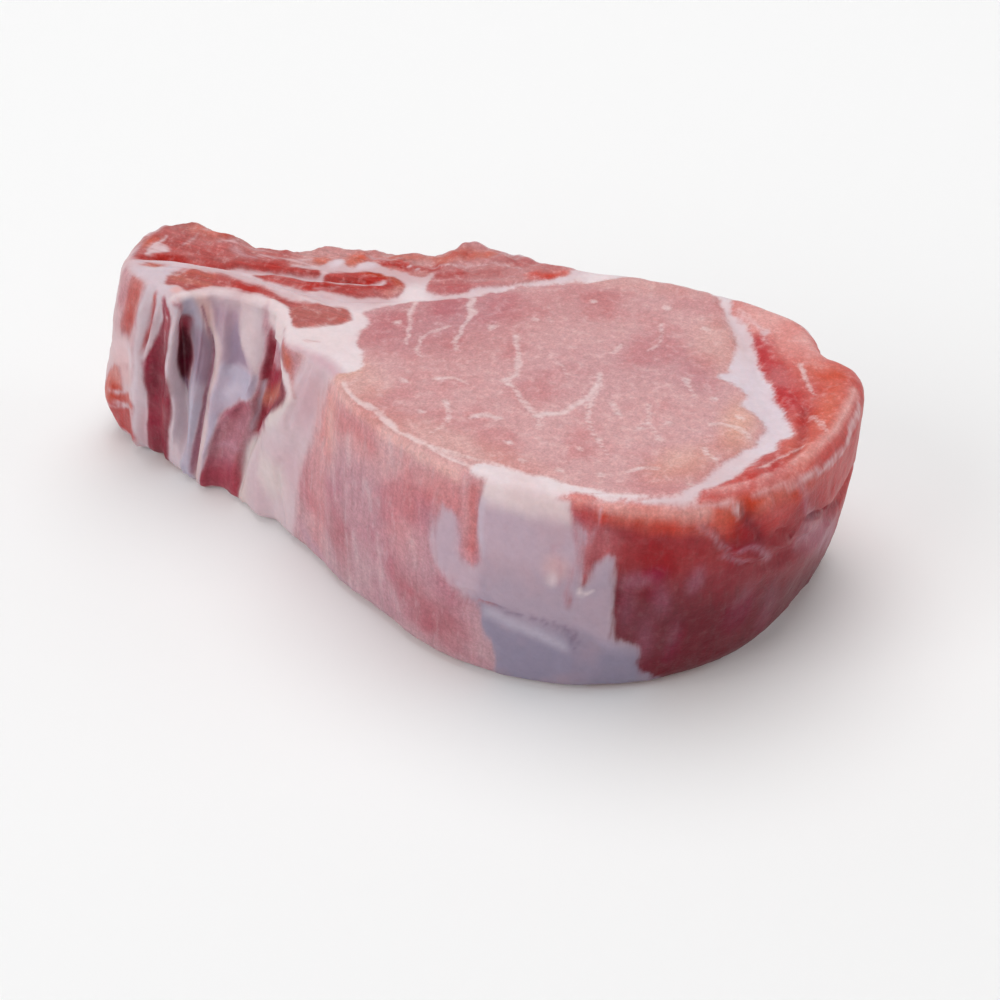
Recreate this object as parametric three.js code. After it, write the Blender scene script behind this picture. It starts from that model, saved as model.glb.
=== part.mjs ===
// A raw pork chop, cut thick from the rib end of the loin and laid on one cut face.
// Millimetres, +Z up. +X runs along the chop from its thin tail to the cap muscle, +Y to its back.
// The origin is on the surface that it lies on, below the middle of its box.
import * as THREE from "three";
import { mergeVertices } from "three/addons/utils/BufferGeometryUtils.js";

// Sizes of the whole cut
const THICKNESS = 47; // between the two cut faces
const BELLY = 1.6; // how far the side wall swells at half height
const FACE_GRIP = 0.6; // share of the height above which the wall follows the relief of the cut face

// Fineness of the mesh
const SIDE_STEPS = 95; // mesh columns along the front, and as many along the back
const END_STEPS = 16; // mesh columns round each end
const WALL_ROWS = 14; // mesh rows between the two rounded edges
const ROUND_ROWS = 2; // mesh rows of each rounded edge
const FOLD_STEPS = 24; // straight pieces in the middle line of a fold

// Stations round the rim, seen from above and against the clock:
// [x and y of the upper edge, x and y of the base, radius of the upper edge, radius of the base].
const FRONT_RIM = [
  [-76.8, -2, -84, -0.6, 3, 4.5],
  [-70.3, -5.6, -77.2, -4.2, 2.5, 3.5],
  [-64.8, -7.6, -71.6, -5.6, 2, 3],
  [-60.4, -9.2, -67.2, -7, 1.8, 3],
  [-57.8, -5.4, -62.2, -9.4, 1.6, 3],
  [-54.5, -2.4, -58.2, -11.4, 1.6, 3],
  [-49, -1.3, -53, -12, 1.6, 3],
  [-43.5, -1.6, -47.8, -12.8, 1.6, 3],
  [-38.2, -2.4, -42.8, -14.4, 1.6, 3],
  [-35.2, -6.6, -38.6, -15, 1.6, 3],
  [-31.8, -13.4, -34.2, -16.4, 1.6, 3],
  [-25, -15, -27.8, -20.4, 1.6, 3.5],
  [-18.8, -18, -20.8, -24.6, 1.6, 3.5],
  [-12.6, -25, -13.4, -28.6, 1.6, 3.5],
  [-3, -30.2, -4, -33, 1.6, 3.5],
  [8, -34.6, 7.5, -38.4, 1.8, 3.5],
  [20.5, -37.2, 20, -41.4, 2, 3.5],
  [34, -38.2, 33, -41, 2.5, 3.5],
  [48, -36.6, 45.5, -37.8, 3.5, 3.5],
  [62, -31.6, 58.4, -30, 4.5, 3.5],
];
const CAP_END_RIM = [
  [73.6, -23.4, 68, -18.8, 5, 4],
  [81.4, -10, 73.6, -6, 4.5, 4.5],
  [83.2, 5, 75.4, 7, 4, 4.5],
  [82, 18.4, 75.6, 19.6, 3.2, 4.5],
  [78, 26.2, 73, 26.2, 3, 4],
];
const BACK_RIM = [
  [69.6, 29.2, 68.2, 29.4, 3, 4],
  [60.6, 38, 59, 36.8, 3, 4],
  [43, 41, 42, 39.6, 3, 4],
  [26, 41, 25.5, 40, 3, 4],
  [10, 37.4, 10, 36.4, 3, 4],
  [-4, 38.6, -3.5, 37.4, 3.5, 4],
  [-14, 37.8, -13, 36.4, 3.5, 4],
  [-21, 31, -20.5, 30.6, 4, 4],
  [-30, 28, -30, 27.4, 4, 4],
  [-39.5, 24.6, -39.5, 24.2, 4, 4],
  [-48, 20.4, -48, 20.6, 4, 4],
  [-55.5, 17.8, -56, 18.6, 4, 4],
  [-64, 19.6, -65, 20.2, 4.5, 5],
  [-72.5, 20.6, -75, 20, 5, 6],
  [-78, 14.2, -83.5, 14, 5, 7],
];
const TAIL_END_RIM = [[-79.4, 5.4, -86.6, 5.6, 4, 6.5]];

// A long rounded swelling, or a furrow if its rise is below 0, along a curve.
// It narrows to nothing at both ends, so it starts or stops off the surface where it has to run out full.
function fold(rise, width, ...points) {
  const curve = new THREE.CatmullRomCurve3(points.map(([a, b]) => new THREE.Vector3(a, b, 0)));
  return { rise, reach: width / 2, line: curve.getSpacedPoints(FOLD_STEPS) };
}

// Folds of the side wall, by [millimetres round the wall from the tail's front corner, height].
const WALL_FOLDS = [
  fold(1.3, 7, [9, 60], [9, 38], [8.7, 31], [9.4, 20], [9, 10], [9, -12]), // outer strip of fat
  fold(-1.3, 7, [14.8, 56], [14.6, 33], [15.2, 22], [15.6, 12], [15.5, -12]), // dark band of lean
  fold(-3, 6.4, [20.4, 52], [21, 36], [20.9, 29], [21.4, 18], [22.6, 4]), // deep cleft
  fold(-1.4, 5, [25, 40], [26.7, 33], [27, 28], [26.2, 20], [25.6, 11], [25, -8]), // groove
  fold(1, 6, [26, 60], [29.5, 36], [29.5, 30], [29, 20], [28.6, 11], [28, -12]), // folded membrane
  fold(0.9, 8, [34, 58], [35.8, 40], [38, 32], [38.5, 22]), // fatty band of the membrane
  fold(0.8, 12, [26, 26], [34, 26], [41, 29]), // its lower lobe
  fold(-1, 10, [38, 26], [34.5, 15], [32.5, 6], [32, -12]), // lean below the lobe
  fold(-3, 7, [41, 50], [42.5, 34], [43.5, 27], [41, 20], [38.4, 12], [38, 0]), // cleft by the fat
  fold(1.6, 18, [64, 48], [55, 34], [50, 24], [46, 14], [45, -14]), // bulge of fat
  fold(-1, 10, [106, 19], [120, 18.6], [132, 17.6], [143, 12]), // crease of the silverskin
  fold(-1.5, 11, [166, 29], [184, 27.6], [196, 26.4], [212, 28]), // crease of the cap muscle
  fold(1.5, 22, [-16, 24], [-6, 13], [4, 10]), // swollen foot of the tail
  fold(-1, 12, [268, 66], [270, 30], [268, -20]), // shallow furrows of the back
  fold(-1.2, 12, [316, 66], [318, 28], [315, -20]),
];

// Folds of the upper cut face, by [x, y].
const FACE_FOLDS = [
  fold(1.5, 19, [-86, 6], [-74, 14], [-66, 15], [-54, 13]), // lump at the back of the tail
  fold(-1.5, 5, [-80, 2], [-66, 7.5], [-55, 8.3], [-44, 10], [-34, 11.5], [-20, 14.5]), // dark furrow
  fold(0.8, 5.5, [-74, -2], [-58, 2.6], [-48, 2.8], [-38, 2.2], [-26, 1]), // strand of lean
  fold(-0.7, 6, [-34, 4], [-22, 9], [-8, 16.5], [8, 28], [24, 40]), // seam behind the eye
  fold(-0.8, 11, [40, 42], [55, 25], [63, 12], [69, 1], [66, -14], [56, -28]), // seam by the cap
  fold(0.7, 12, [70, 30], [77, 20], [79, 6], [77, -8], [69, -20], [56, -32]), // rim of the cap
];
const EYE_MUSCLE = { x: 20, y: 2, length: 88, width: 72, rise: 1.2 };

const RIM = [...FRONT_RIM, ...CAP_END_RIM, ...BACK_RIM, ...TAIL_END_RIM];
const CAP_START = FRONT_RIM.length - 1;
const BACK_START = FRONT_RIM.length + CAP_END_RIM.length;
const TAIL_START = BACK_START + BACK_RIM.length - 1;
// First station, last station and mesh columns of each side.
const SIDES = [
  [0, CAP_START, SIDE_STEPS],
  [CAP_START, BACK_START, END_STEPS],
  [BACK_START, TAIL_START, SIDE_STEPS],
  [TAIL_START, RIM.length, END_STEPS],
];

const smooth = (value, from, to) => THREE.MathUtils.smoothstep(value, from, to);

function rimCurve(first) {
  const points = RIM.map((station) => new THREE.Vector3(station[first], station[first + 1], 0));
  return new THREE.CatmullRomCurve3(points, true, "catmullrom");
}

const upperEdge = rimCurve(0);
const baseEdge = rimCurve(2);
const edgeRadii = rimCurve(4);

// Columns of the side wall, once round the rim, each with its distance from the tail's front corner.
function rimColumns() {
  const columns = [];
  for (const [from, to, steps] of SIDES) {
    for (let i = 0; i < steps; i++) {
      const t = (from + ((to - from) * i) / steps) / RIM.length;
      const upper = upperEdge.getPoint(t);
      const base = baseEdge.getPoint(t);
      const middle = upper.clone().lerp(base, 0.5);
      const before = columns.at(-1);
      columns.push({
        upper,
        base,
        middle,
        upperRun: upperEdge.getTangent(t),
        baseRun: baseEdge.getTangent(t),
        radii: edgeRadii.getPoint(t),
        girth: before ? before.girth + middle.distanceTo(before.middle) : 0,
      });
    }
  }
  return columns;
}

// How far one fold lifts the point (a, b).
function foldRise({ rise, reach, line }, a, b) {
  let strength = 0;
  for (let i = 0; i < FOLD_STEPS; i++) {
    const runA = line[i + 1].x - line[i].x;
    const runB = line[i + 1].y - line[i].y;
    const share = ((a - line[i].x) * runA + (b - line[i].y) * runB) / (runA * runA + runB * runB);
    const along = THREE.MathUtils.clamp(share, 0, 1);
    const distance = Math.hypot(a - line[i].x - along * runA, b - line[i].y - along * runB);
    const narrowed = reach * Math.sqrt(Math.sin((Math.PI * (i + along)) / FOLD_STEPS)) + 1e-6;
    strength = Math.max(strength, 1 - distance / narrowed);
  }
  return rise * smooth(strength, 0, 1);
}

function allFolds(folds, a, b) {
  return folds.reduce((sum, one) => sum + foldRise(one, a, b), 0);
}

// Rise of the upper cut face above its mean level.
function faceRise(x, y) {
  const { length, width, rise } = EYE_MUSCLE;
  const out = Math.hypot((x - EYE_MUSCLE.x) / (length / 2), (y - EYE_MUSCLE.y) / (width / 2));
  return rise * (1 - smooth(out, 0, 1)) + allFolds(FACE_FOLDS, x, y);
}

// Point of the side wall; inset is inwards from the wall's own surface.
function wallPoint(column, height, inset) {
  const share = height / THICKNESS;
  const run = column.baseRun.clone().lerp(column.upperRun, share).normalize();
  const swell = BELLY * Math.sin(Math.PI * share) + allFolds(WALL_FOLDS, column.girth, height);
  const place = column.base.clone().lerp(column.upper, share);
  const x = place.x + run.y * (swell - inset);
  const y = place.y - run.x * (swell - inset);
  return [x, y, height + faceRise(x, y) * smooth(share, FACE_GRIP, 1)];
}

// Rows of the side wall from the base to the upper face, with both edges rounded.
function wallRows(columns) {
  const rows = [];
  const quarter = (i) => (Math.PI / 2) * (i / ROUND_ROWS);
  for (let i = 0; i < ROUND_ROWS; i++) {
    const lift = 1 - Math.cos(quarter(i));
    const inset = 1 - Math.sin(quarter(i));
    rows.push(columns.map((c) => wallPoint(c, c.radii.y * lift, c.radii.y * inset)));
  }
  for (let i = 0; i <= WALL_ROWS; i++) {
    const share = i / WALL_ROWS;
    rows.push(
      columns.map((c) => wallPoint(c, (1 - share) * c.radii.y + share * (THICKNESS - c.radii.x), 0)),
    );
  }
  for (let i = 1; i <= ROUND_ROWS; i++) {
    const drop = 1 - Math.sin(quarter(i));
    const inset = 1 - Math.cos(quarter(i));
    rows.push(columns.map((c) => wallPoint(c, THICKNESS - c.radii.x * drop, c.radii.x * inset)));
  }
  return rows;
}

// Grid of the upper face inside its closed edge, blended between the four sides as a Coons patch.
function faceGrid(edge) {
  const front = (i) => edge[i];
  const cap = (j) => edge[SIDE_STEPS + j];
  const back = (i) => edge[2 * SIDE_STEPS + END_STEPS - i];
  const tail = (j) => edge[(edge.length - j) % edge.length];
  const grid = [];
  for (let i = 0; i <= SIDE_STEPS; i++) {
    const column = [];
    const u = i / SIDE_STEPS;
    for (let j = 0; j <= END_STEPS; j++) {
      const v = j / END_STEPS;
      const blend = (axis) =>
        (1 - v) * front(i)[axis] +
        v * back(i)[axis] +
        (1 - u) * tail(j)[axis] +
        u * cap(j)[axis] -
        (1 - v) * ((1 - u) * front(0)[axis] + u * front(SIDE_STEPS)[axis]) -
        v * ((1 - u) * back(0)[axis] + u * back(SIDE_STEPS)[axis]);
      const onEdge = i === 0 || j === 0 || i === SIDE_STEPS || j === END_STEPS;
      const x = blend(0);
      const y = blend(1);
      column.push([x, y, onEdge ? blend(2) : THICKNESS + faceRise(x, y)]);
    }
    grid.push(column);
  }
  return grid;
}

function chopGeometry() {
  const triangles = [];
  const quad = (a, b, c, d) => triangles.push(a, b, c, a, c, d);
  const rows = wallRows(rimColumns());
  const count = rows[0].length;
  for (let r = 0; r + 1 < rows.length; r++) {
    for (let i = 0; i < count; i++) {
      const next = (i + 1) % count;
      quad(rows[r][i], rows[r][next], rows[r + 1][next], rows[r + 1][i]);
    }
  }
  const grid = faceGrid(rows.at(-1));
  for (let i = 0; i < SIDE_STEPS; i++) {
    for (let j = 0; j < END_STEPS; j++) {
      quad(grid[i][j], grid[i + 1][j], grid[i + 1][j + 1], grid[i][j + 1]);
    }
  }
  const foot = rows[0].map(([x, y]) => new THREE.Vector2(x, y));
  for (const [a, b, c] of THREE.ShapeUtils.triangulateShape(foot, [])) {
    triangles.push(rows[0][a], rows[0][c], rows[0][b]);
  }
  const geometry = new THREE.BufferGeometry();
  geometry.setAttribute("position", new THREE.Float32BufferAttribute(triangles.flat(), 3));
  const merged = mergeVertices(geometry, 1e-3);
  merged.computeVertexNormals();
  merged.computeBoundingBox();
  const middle = merged.boundingBox.getCenter(new THREE.Vector3());
  return merged.translate(-middle.x, -middle.y, 0);
}

const meat = new THREE.MeshStandardMaterial({ color: 0xc98480, roughness: 0.45, metalness: 0 });
const chop = new THREE.Mesh(chopGeometry(), meat);
chop.name = "chop";

const group = new THREE.Group();
group.add(chop);
export default group;
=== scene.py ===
"""A thick raw boneless pork chop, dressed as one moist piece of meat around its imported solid."""

from __future__ import annotations

import logging
import math
from dataclasses import dataclass, field
from enum import Enum

import bpy
import numpy as np
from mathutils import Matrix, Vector

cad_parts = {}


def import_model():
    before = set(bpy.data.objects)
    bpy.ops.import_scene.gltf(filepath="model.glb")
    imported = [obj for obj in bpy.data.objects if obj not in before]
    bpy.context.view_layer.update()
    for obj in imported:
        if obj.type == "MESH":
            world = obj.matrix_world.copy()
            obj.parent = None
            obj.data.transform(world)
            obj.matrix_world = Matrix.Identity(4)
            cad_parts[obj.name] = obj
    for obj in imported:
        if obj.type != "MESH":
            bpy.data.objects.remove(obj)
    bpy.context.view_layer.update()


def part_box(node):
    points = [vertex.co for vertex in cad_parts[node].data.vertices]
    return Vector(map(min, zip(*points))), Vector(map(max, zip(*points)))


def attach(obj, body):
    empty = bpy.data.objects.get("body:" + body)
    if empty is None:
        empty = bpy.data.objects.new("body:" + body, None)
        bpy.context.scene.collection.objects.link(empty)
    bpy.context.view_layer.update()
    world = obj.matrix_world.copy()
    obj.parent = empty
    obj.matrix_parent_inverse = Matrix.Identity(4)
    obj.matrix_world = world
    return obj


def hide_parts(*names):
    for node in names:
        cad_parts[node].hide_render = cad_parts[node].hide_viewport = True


Array = np.ndarray
Socket = bpy.types.NodeSocket
Points = tuple[tuple[float, ...], ...]

# Sizes are in millimetres, up to where the mesh is made.
MM = 0.001
THICKNESS = 47.0
BELLY = 1.6
PLAN_SHIFT = (1.66, -0.32)
# A patch is felt no further than this from its edge.
REACH = 6.0
# The girth starts at the tail's front corner, and the last part of the way round counts down to it.
GIRTH_OVERLAP = 12.0
# Where the cut face's pattern takes over from the wall's, as depths below the upper rim.
FACE_BLEND = (1.4, 0.05)
# Where the bottom's pattern takes over, as heights over the lower rim.
FOOT_BLEND = (0.05, 1.6)
# The share of the thickness from which the wall follows the top face's lumps.
LIFT_START = 0.6
# How often each row of the wall by a rim is eased along the girth.
RIM_EASING = ((0, 6), (1, 3), (-3, 2), (-2, 4), (-1, 6))

# Each station of the rims: upper x and y, lower x and y, upper and lower radius.
FRONT_RIM: Points = (
    (-76.8, -2, -84, -0.6, 3, 4.5), (-70.3, -5.6, -77.2, -4.2, 2.5, 3.5), (-64.8, -7.6, -71.6, -5.6, 2, 3),
    (-60.4, -9.2, -67.2, -7, 1.8, 3), (-57.8, -5.4, -62.2, -9.4, 1.6, 3),
    (-54.5, -2.4, -58.2, -11.4, 1.6, 3), (-49, -1.3, -53, -12, 1.6, 3), (-43.5, -1.6, -47.8, -12.8, 1.6, 3),
    (-38.2, -2.4, -42.8, -14.4, 1.6, 3), (-35.2, -6.6, -38.6, -15, 1.6, 3),
    (-31.8, -13.4, -34.2, -16.4, 1.6, 3), (-25, -15, -27.8, -20.4, 1.6, 3.5),
    (-18.8, -18, -20.8, -24.6, 1.6, 3.5), (-12.6, -25, -13.4, -28.6, 1.6, 3.5),
    (-3, -30.2, -4, -33, 1.6, 3.5), (8, -34.6, 7.5, -38.4, 1.8, 3.5), (20.5, -37.2, 20, -41.4, 2, 3.5),
    (34, -38.2, 33, -41, 2.5, 3.5), (48, -36.6, 45.5, -37.8, 3.5, 3.5), (62, -31.6, 58.4, -30, 4.5, 3.5),
)
CAP_END_RIM: Points = (
    (73.6, -23.4, 68, -18.8, 5, 4), (81.4, -10, 73.6, -6, 4.5, 4.5), (83.2, 5, 75.4, 7, 4, 4.5),
    (82, 18.4, 75.6, 19.6, 3.2, 4.5), (78, 26.2, 73, 26.2, 3, 4),
)
BACK_RIM: Points = (
    (69.6, 29.2, 68.2, 29.4, 3, 4), (60.6, 38, 59, 36.8, 3, 4), (43, 41, 42, 39.6, 3, 4),
    (26, 41, 25.5, 40, 3, 4), (10, 37.4, 10, 36.4, 3, 4), (-4, 38.6, -3.5, 37.4, 3.5, 4),
    (-14, 37.8, -13, 36.4, 3.5, 4), (-21, 31, -20.5, 30.6, 4, 4), (-30, 28, -30, 27.4, 4, 4),
    (-39.5, 24.6, -39.5, 24.2, 4, 4), (-48, 20.4, -48, 20.6, 4, 4), (-55.5, 17.8, -56, 18.6, 4, 4),
    (-64, 19.6, -65, 20.2, 4.5, 5), (-72.5, 20.6, -75, 20, 5, 6), (-78, 14.2, -83.5, 14, 5, 7),
)
TAIL_END_RIM: Points = ((-79.4, 5.4, -86.6, 5.6, 4, 6.5),)


class Hue(Enum):
    """The colours of the meat's parts, and of the light and shade painted on them, as display red, green and
    blue.
    """

    EYE = (206, 157, 158)
    EYE_ROSE = (190, 132, 138)
    EYE_MAUVE = (196, 144, 148)
    EYE_DEEP = (190, 124, 126)
    EYE_PEACH = (210, 160, 155)
    EYE_APRICOT = (216, 164, 150)
    CAP = (196, 92, 88)
    CAP_PINK = (222, 162, 158)
    CAP_ORANGE = (211, 106, 84)
    CAP_PLUM = (182, 88, 92)
    CAP_SIDE = (142, 42, 52)
    CAP_SIDE_RED = (156, 48, 52)
    # Deep red of the cap wall, partly painted shade at its bottom and in its creases.
    CAP_SIDE_LOW = (107, 28, 40)
    CAP_SIDE_WARM = (188, 68, 67)
    CAP_MAUVE = (191, 98, 101)
    CAP_SIDE_PINK = (188, 108, 114)
    # Orange-red of the cap wall's lip, partly its own colour and partly a painted glow of light from above
    # and behind.
    GLOW = (208, 110, 96)
    # Hot orange-red: on the cap wall's lip partly a painted glow, on the top face a strand's own colour.
    GLOW_HOT = (200, 70, 56)
    FILM = (154, 94, 114)
    FILM_PALE = (188, 148, 164)
    STRAND = (176, 66, 62)
    STRAND_SOFT = (172, 84, 82)
    OVAL = (180, 98, 92)
    LUMP = (178, 98, 96)
    LUMP_ORANGE = (198, 104, 88)
    BACK = (194, 136, 134)
    REDBACK = (190, 126, 126)
    SIDE = (186, 138, 148)
    SIDE_WARM = (228, 179, 174)
    SIDE_ROSE = (202, 142, 146)
    SIDE_BLUSH = (208, 118, 118)
    SIDE_RED = (172, 104, 112)
    SIDE_LOW = (190, 153, 161)
    PAD = (228, 211, 214)
    SEAM = (219, 202, 210)
    SEAM_PINK = (216, 193, 198)
    RIM = (226, 206, 208)
    RIM_PINK = (222, 172, 170)
    # Painted highlight where the cap's rounded rim catches the light.
    RIM_LIGHT = (232, 190, 186)
    TAIL = (208, 176, 180)
    TAIL_RED = (188, 96, 88)
    RIDGE = (208, 189, 197)
    RIDGE_WARM = (213, 190, 192)
    STRIP = (180, 170, 187)
    # Painted shade in hollows of the membrane and in the cleft.
    HOLLOW = (146, 124, 146)
    GROOVE = (138, 98, 116)
    MEMBRANE = (176, 149, 167)
    BAND = (215, 195, 200)
    LOBE = (186, 173, 192)
    PLUM = (174, 114, 127)
    PLUM_DEEP = (160, 88, 97)
    # Painted shade deep in the cleft beside the ridge.
    CLEFT = (94, 36, 48)
    CLEFT_RED = (152, 62, 74)
    BAND_DARK = (138, 60, 72)
    # Deep red: the own colour of dark streaks, and painted shade along a crease of the cap wall.
    BAND_DEEP = (118, 40, 54)
    BAND_LIGHT = (172, 96, 104)
    RUST = (188, 108, 94)
    BULGE = (211, 188, 194)
    BULGE_PINK = (205, 169, 178)
    BULGE_CREAM = (220, 207, 203)
    SKIN = (172, 152, 168)
    # The skin's paler tone, lighter towards the top of the wall with painted light.
    SKIN_HIGH = (190, 165, 179)
    # The skin darker towards the bottom of the wall: painted shade.
    SKIN_LOW = (144, 134, 155)
    # Painted highlight on skin and membrane.
    SKIN_SHINE = (206, 197, 212)
    # Painted shadow in the skin's crease.
    CREASE = (106, 78, 106)
    FAT_THREAD = (231, 212, 212)


class Kind(Enum):
    """What a patch does to the surface."""

    LEAN = "lean meat that shows through fat and skin"
    PALE = "fat or skin laid over the lean"
    LEAN_TINT = "a change of the lean's colour alone"
    PALE_TINT = "a change of the fat's or skin's colour alone"
    THREAD = "a thin thread of fat in the lean"


class Lamp(Enum):
    """The studio's lamps: place and size in metres, and power."""

    OVERHEAD = ((-0.15, 0.35, 1.25), 1.3, 9.6)
    FRONT = ((-0.7, -1.1, 0.8), 1.2, 7.6)
    RIM = ((1.1, 0.5, 0.7), 0.8, 2.0)


def linear(rgb: tuple[float, ...]) -> Array:
    """Turns a display colour into the linear one that shaders use.

    Args:
        rgb: Red, green and blue from 0 to 255.

    Returns:
        The three linear values.
    """
    share = np.array(rgb, float) / 255
    return np.where(share <= 0.04045, share / 12.92, ((share + 0.055) / 1.055) ** 2.4)


def smoothstep(value: Array, low: float, high: float) -> Array:
    """Rises smoothly from 0 at low to 1 at high.

    Args:
        value: The numbers to map.
        low: Where the rise starts.
        high: Where the rise ends.

    Returns:
        Shares from 0 to 1.
    """
    share = np.clip((value - low) / (high - low), 0, 1)
    return share * share * (3 - 2 * share)


def flow(points: Points, per_gap: int, closed: bool) -> Array:
    """Draws a smooth curve through points.

    Args:
        points: The points that the curve passes through.
        per_gap: How many short segments lie between two points.
        closed: Whether the curve returns to its start.

    Returns:
        The points of a polyline on the curve.
    """
    knots = np.array(points, float)
    if closed:
        padded = np.vstack([knots[-1:], knots, knots[:2]])
    else:
        padded = np.vstack([2 * knots[0] - knots[1], knots, 2 * knots[-1] - knots[-2]])
    share = np.linspace(0, 1, per_gap, endpoint=False)[:, None]
    line = np.vstack([hermite(*padded[gap : gap + 4], share) for gap in range(len(padded) - 3)])
    return line if closed else np.vstack([line, knots[-1:]])


def hermite(before: Array, start: Array, end: Array, after: Array, share: Array) -> Array:
    """Places points on the curve between two of four knots.

    Args:
        before: The knot ahead of the gap.
        start: The knot that starts the gap.
        end: The knot that ends the gap.
        after: The knot behind the gap.
        share: How far along the gap each wanted point is, from 0 to 1.

    Returns:
        The points.
    """
    leave = (end - before) * 0.5
    arrive = (after - start) * 0.5
    cubed = (2 * start - 2 * end + leave + arrive) * share**3
    squared = (-3 * start + 3 * end - 2 * leave - arrive) * share**2
    return cubed + squared + leave * share + start


def boxed(places: Array, line: Array, reach: float) -> Array:
    """Tells which places lie in the box round a line, widened by a reach."""
    return ((places > line.min(0) - reach) & (places < line.max(0) + reach)).all(1)


def nearest(places: Array, line: Array, closed: bool) -> tuple[Array, Array]:
    """Measures how far places are from a polyline.

    Args:
        places: One place on each row.
        line: The polyline's points.
        closed: Whether the last point joins the first.

    Returns:
        The distances, and the share along the line of each nearest point.
    """
    starts = line if closed else line[:-1]
    run = (np.roll(line, -1, axis=0) if closed else line[1:]) - starts
    size = np.maximum((run**2).sum(1), 1e-9)
    best = np.full(len(places), 1e9)
    along = np.zeros(len(places))
    for index, start in enumerate(starts):
        share = np.clip((places - start) @ run[index] / size[index], 0, 1)
        distance = ((places - start - share[:, None] * run[index]) ** 2).sum(1)
        closer = distance < best
        best[closer] = distance[closer]
        along[closer] = (index + share[closer]) / len(starts)
    return np.sqrt(best), along


@dataclass(frozen=True)
class Grain:
    """Smooth noise that is the same on each run, around zero and within about one."""

    seed: int
    size: float
    octaves: int = 1

    def corner(self, cell: Array, octave: int) -> Array:
        """Gives each lattice corner its own number, by mixing up the bits of its place.

        Args:
            cell: Whole numbers, three to a corner.
            octave: The octave, which shifts the pattern.

        Returns:
            Numbers from -1 to 1.
        """
        low_bits = 0x7FFFFFFF
        primes = np.array([73856093, 19349663, 83492791], np.int64)
        mixed = (cell.astype(np.int64) * primes).sum(-1) + (self.seed + 31 * octave) * 2654435761
        mixed = (mixed ^ (mixed >> 13)) & low_bits
        mixed = (mixed * 1274126177 + 12345) & low_bits
        mixed = (mixed ^ (mixed >> 15)) & low_bits
        mixed = (mixed * 1103515245 + 12345) & low_bits
        return mixed / (low_bits >> 1) - 1.0

    def at(self, places: Array) -> Array:
        """Reads the noise.

        Args:
            places: Two or three coordinates in millimetres on each row.

        Returns:
            One number for each place.
        """
        spots = np.atleast_2d(places)
        if spots.shape[1] == 2:
            spots = np.column_stack([spots, np.zeros(len(spots))])
        total = np.zeros(len(spots))
        for octave in range(self.octaves):
            scaled = spots / (self.size * 0.5**octave)
            base = np.floor(scaled)
            part = scaled - base
            part = part * part * (3 - 2 * part)
            value = np.zeros(len(spots))
            for corner in range(8):
                step = np.array([corner & 1, corner >> 1 & 1, corner >> 2 & 1])
                weight = np.where(step, part, 1 - part).prod(1)
                value += weight * self.corner(base + step, octave)
            total += 0.5**octave * value
        return total


@dataclass(frozen=True)
class Ripple:
    """Small unevenness of the surface, which may be drawn out along the second coordinate."""

    rise: float
    grain: Grain
    squash: float = 1.0

    def height(self, places: Array) -> Array:
        """Gives the lift at each place in millimetres."""
        return self.rise * self.grain.at(places * np.array([1.0, self.squash]))


@dataclass(frozen=True)
class Outline:
    """A closed smooth outline."""

    points: Points
    smooth: bool = True

    def inside(self, places: Array) -> Array:
        """Measures how deep places lie inside the outline.

        Args:
            places: Two coordinates in millimetres on each row.

        Returns:
            Distances to the edge, positive inside.
        """
        line = flow(self.points, 4, True) if self.smooth else np.array(self.points, float)
        close = boxed(places, line, REACH)
        depth = np.full(len(places), -REACH)
        near = places[close]
        if len(near):
            distance = nearest(near, line, True)[0]
            depth[close] = np.where(self.holds(near, line), distance, -distance)
        return depth

    @staticmethod
    def holds(places: Array, line: Array) -> Array:
        """Tells which places a closed polyline holds.

        Args:
            places: Two coordinates on each row.
            line: The polyline's points.

        Returns:
            True for each place inside.
        """
        inside = np.zeros(len(places), bool)
        x, y = places.T
        for (x0, y0), (x1, y1) in zip(line, np.roll(line, -1, axis=0)):
            if y0 != y1:
                crossing = (y0 > y) != (y1 > y)
                inside ^= crossing & (x < (x1 - x0) * (y - y0) / (y1 - y0) + x0)
        return inside


@dataclass(frozen=True)
class Streak:
    """A line with a width, which may narrow towards its end."""

    points: Points
    half: float
    end_half: float | None = None

    def inside(self, places: Array) -> Array:
        """Measures how deep places lie inside the streak.

        Args:
            places: Two coordinates in millimetres on each row.

        Returns:
            Distances to the edge, positive inside.
        """
        line = flow(self.points, 4, False)
        close = boxed(places, line, REACH + self.half)
        depth = np.full(len(places), -REACH)
        if close.any():
            distance, along = nearest(places[close], line, False)
            last = self.half if self.end_half is None else self.end_half
            depth[close] = self.half + (last - self.half) * along - distance
        return depth


@dataclass(frozen=True)
class Spot:
    """An oval spot, turned by an angle in degrees."""

    x: float
    y: float
    wide: float
    tall: float
    turn: float = 0.0

    def inside(self, places: Array) -> Array:
        """Measures how deep places lie inside the spot.

        Args:
            places: Two coordinates in millimetres on each row.

        Returns:
            Rough distances to the edge, positive inside.
        """
        angle = math.radians(self.turn)
        across = places - np.array([self.x, self.y])
        along = across @ np.array([math.cos(angle), math.sin(angle)])
        aside = across @ np.array([-math.sin(angle), math.cos(angle)])
        ring = np.hypot(along / self.wide, aside / self.tall)
        return (1 - ring) * min(self.wide, self.tall)


Shape = Outline | Streak | Spot


@dataclass(frozen=True)
class Patch:
    """One part of the meat's pattern, or of the light and shade painted on it: its shape, what it is made of,
    and how far it stands out.
    """

    kind: Kind
    hue: Hue
    shape: Shape
    soft: float = 0.8
    strength: float = 1.0
    rise: float = 0.0
    lip: float = 1.0
    ragged: float = 0.4


def bare(hue: Hue, shape: Shape, *edge: float, **relief: float) -> Patch:
    """Lays lean meat bare through fat and skin."""
    return Patch(Kind.LEAN, hue, shape, *edge, **relief)


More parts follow.
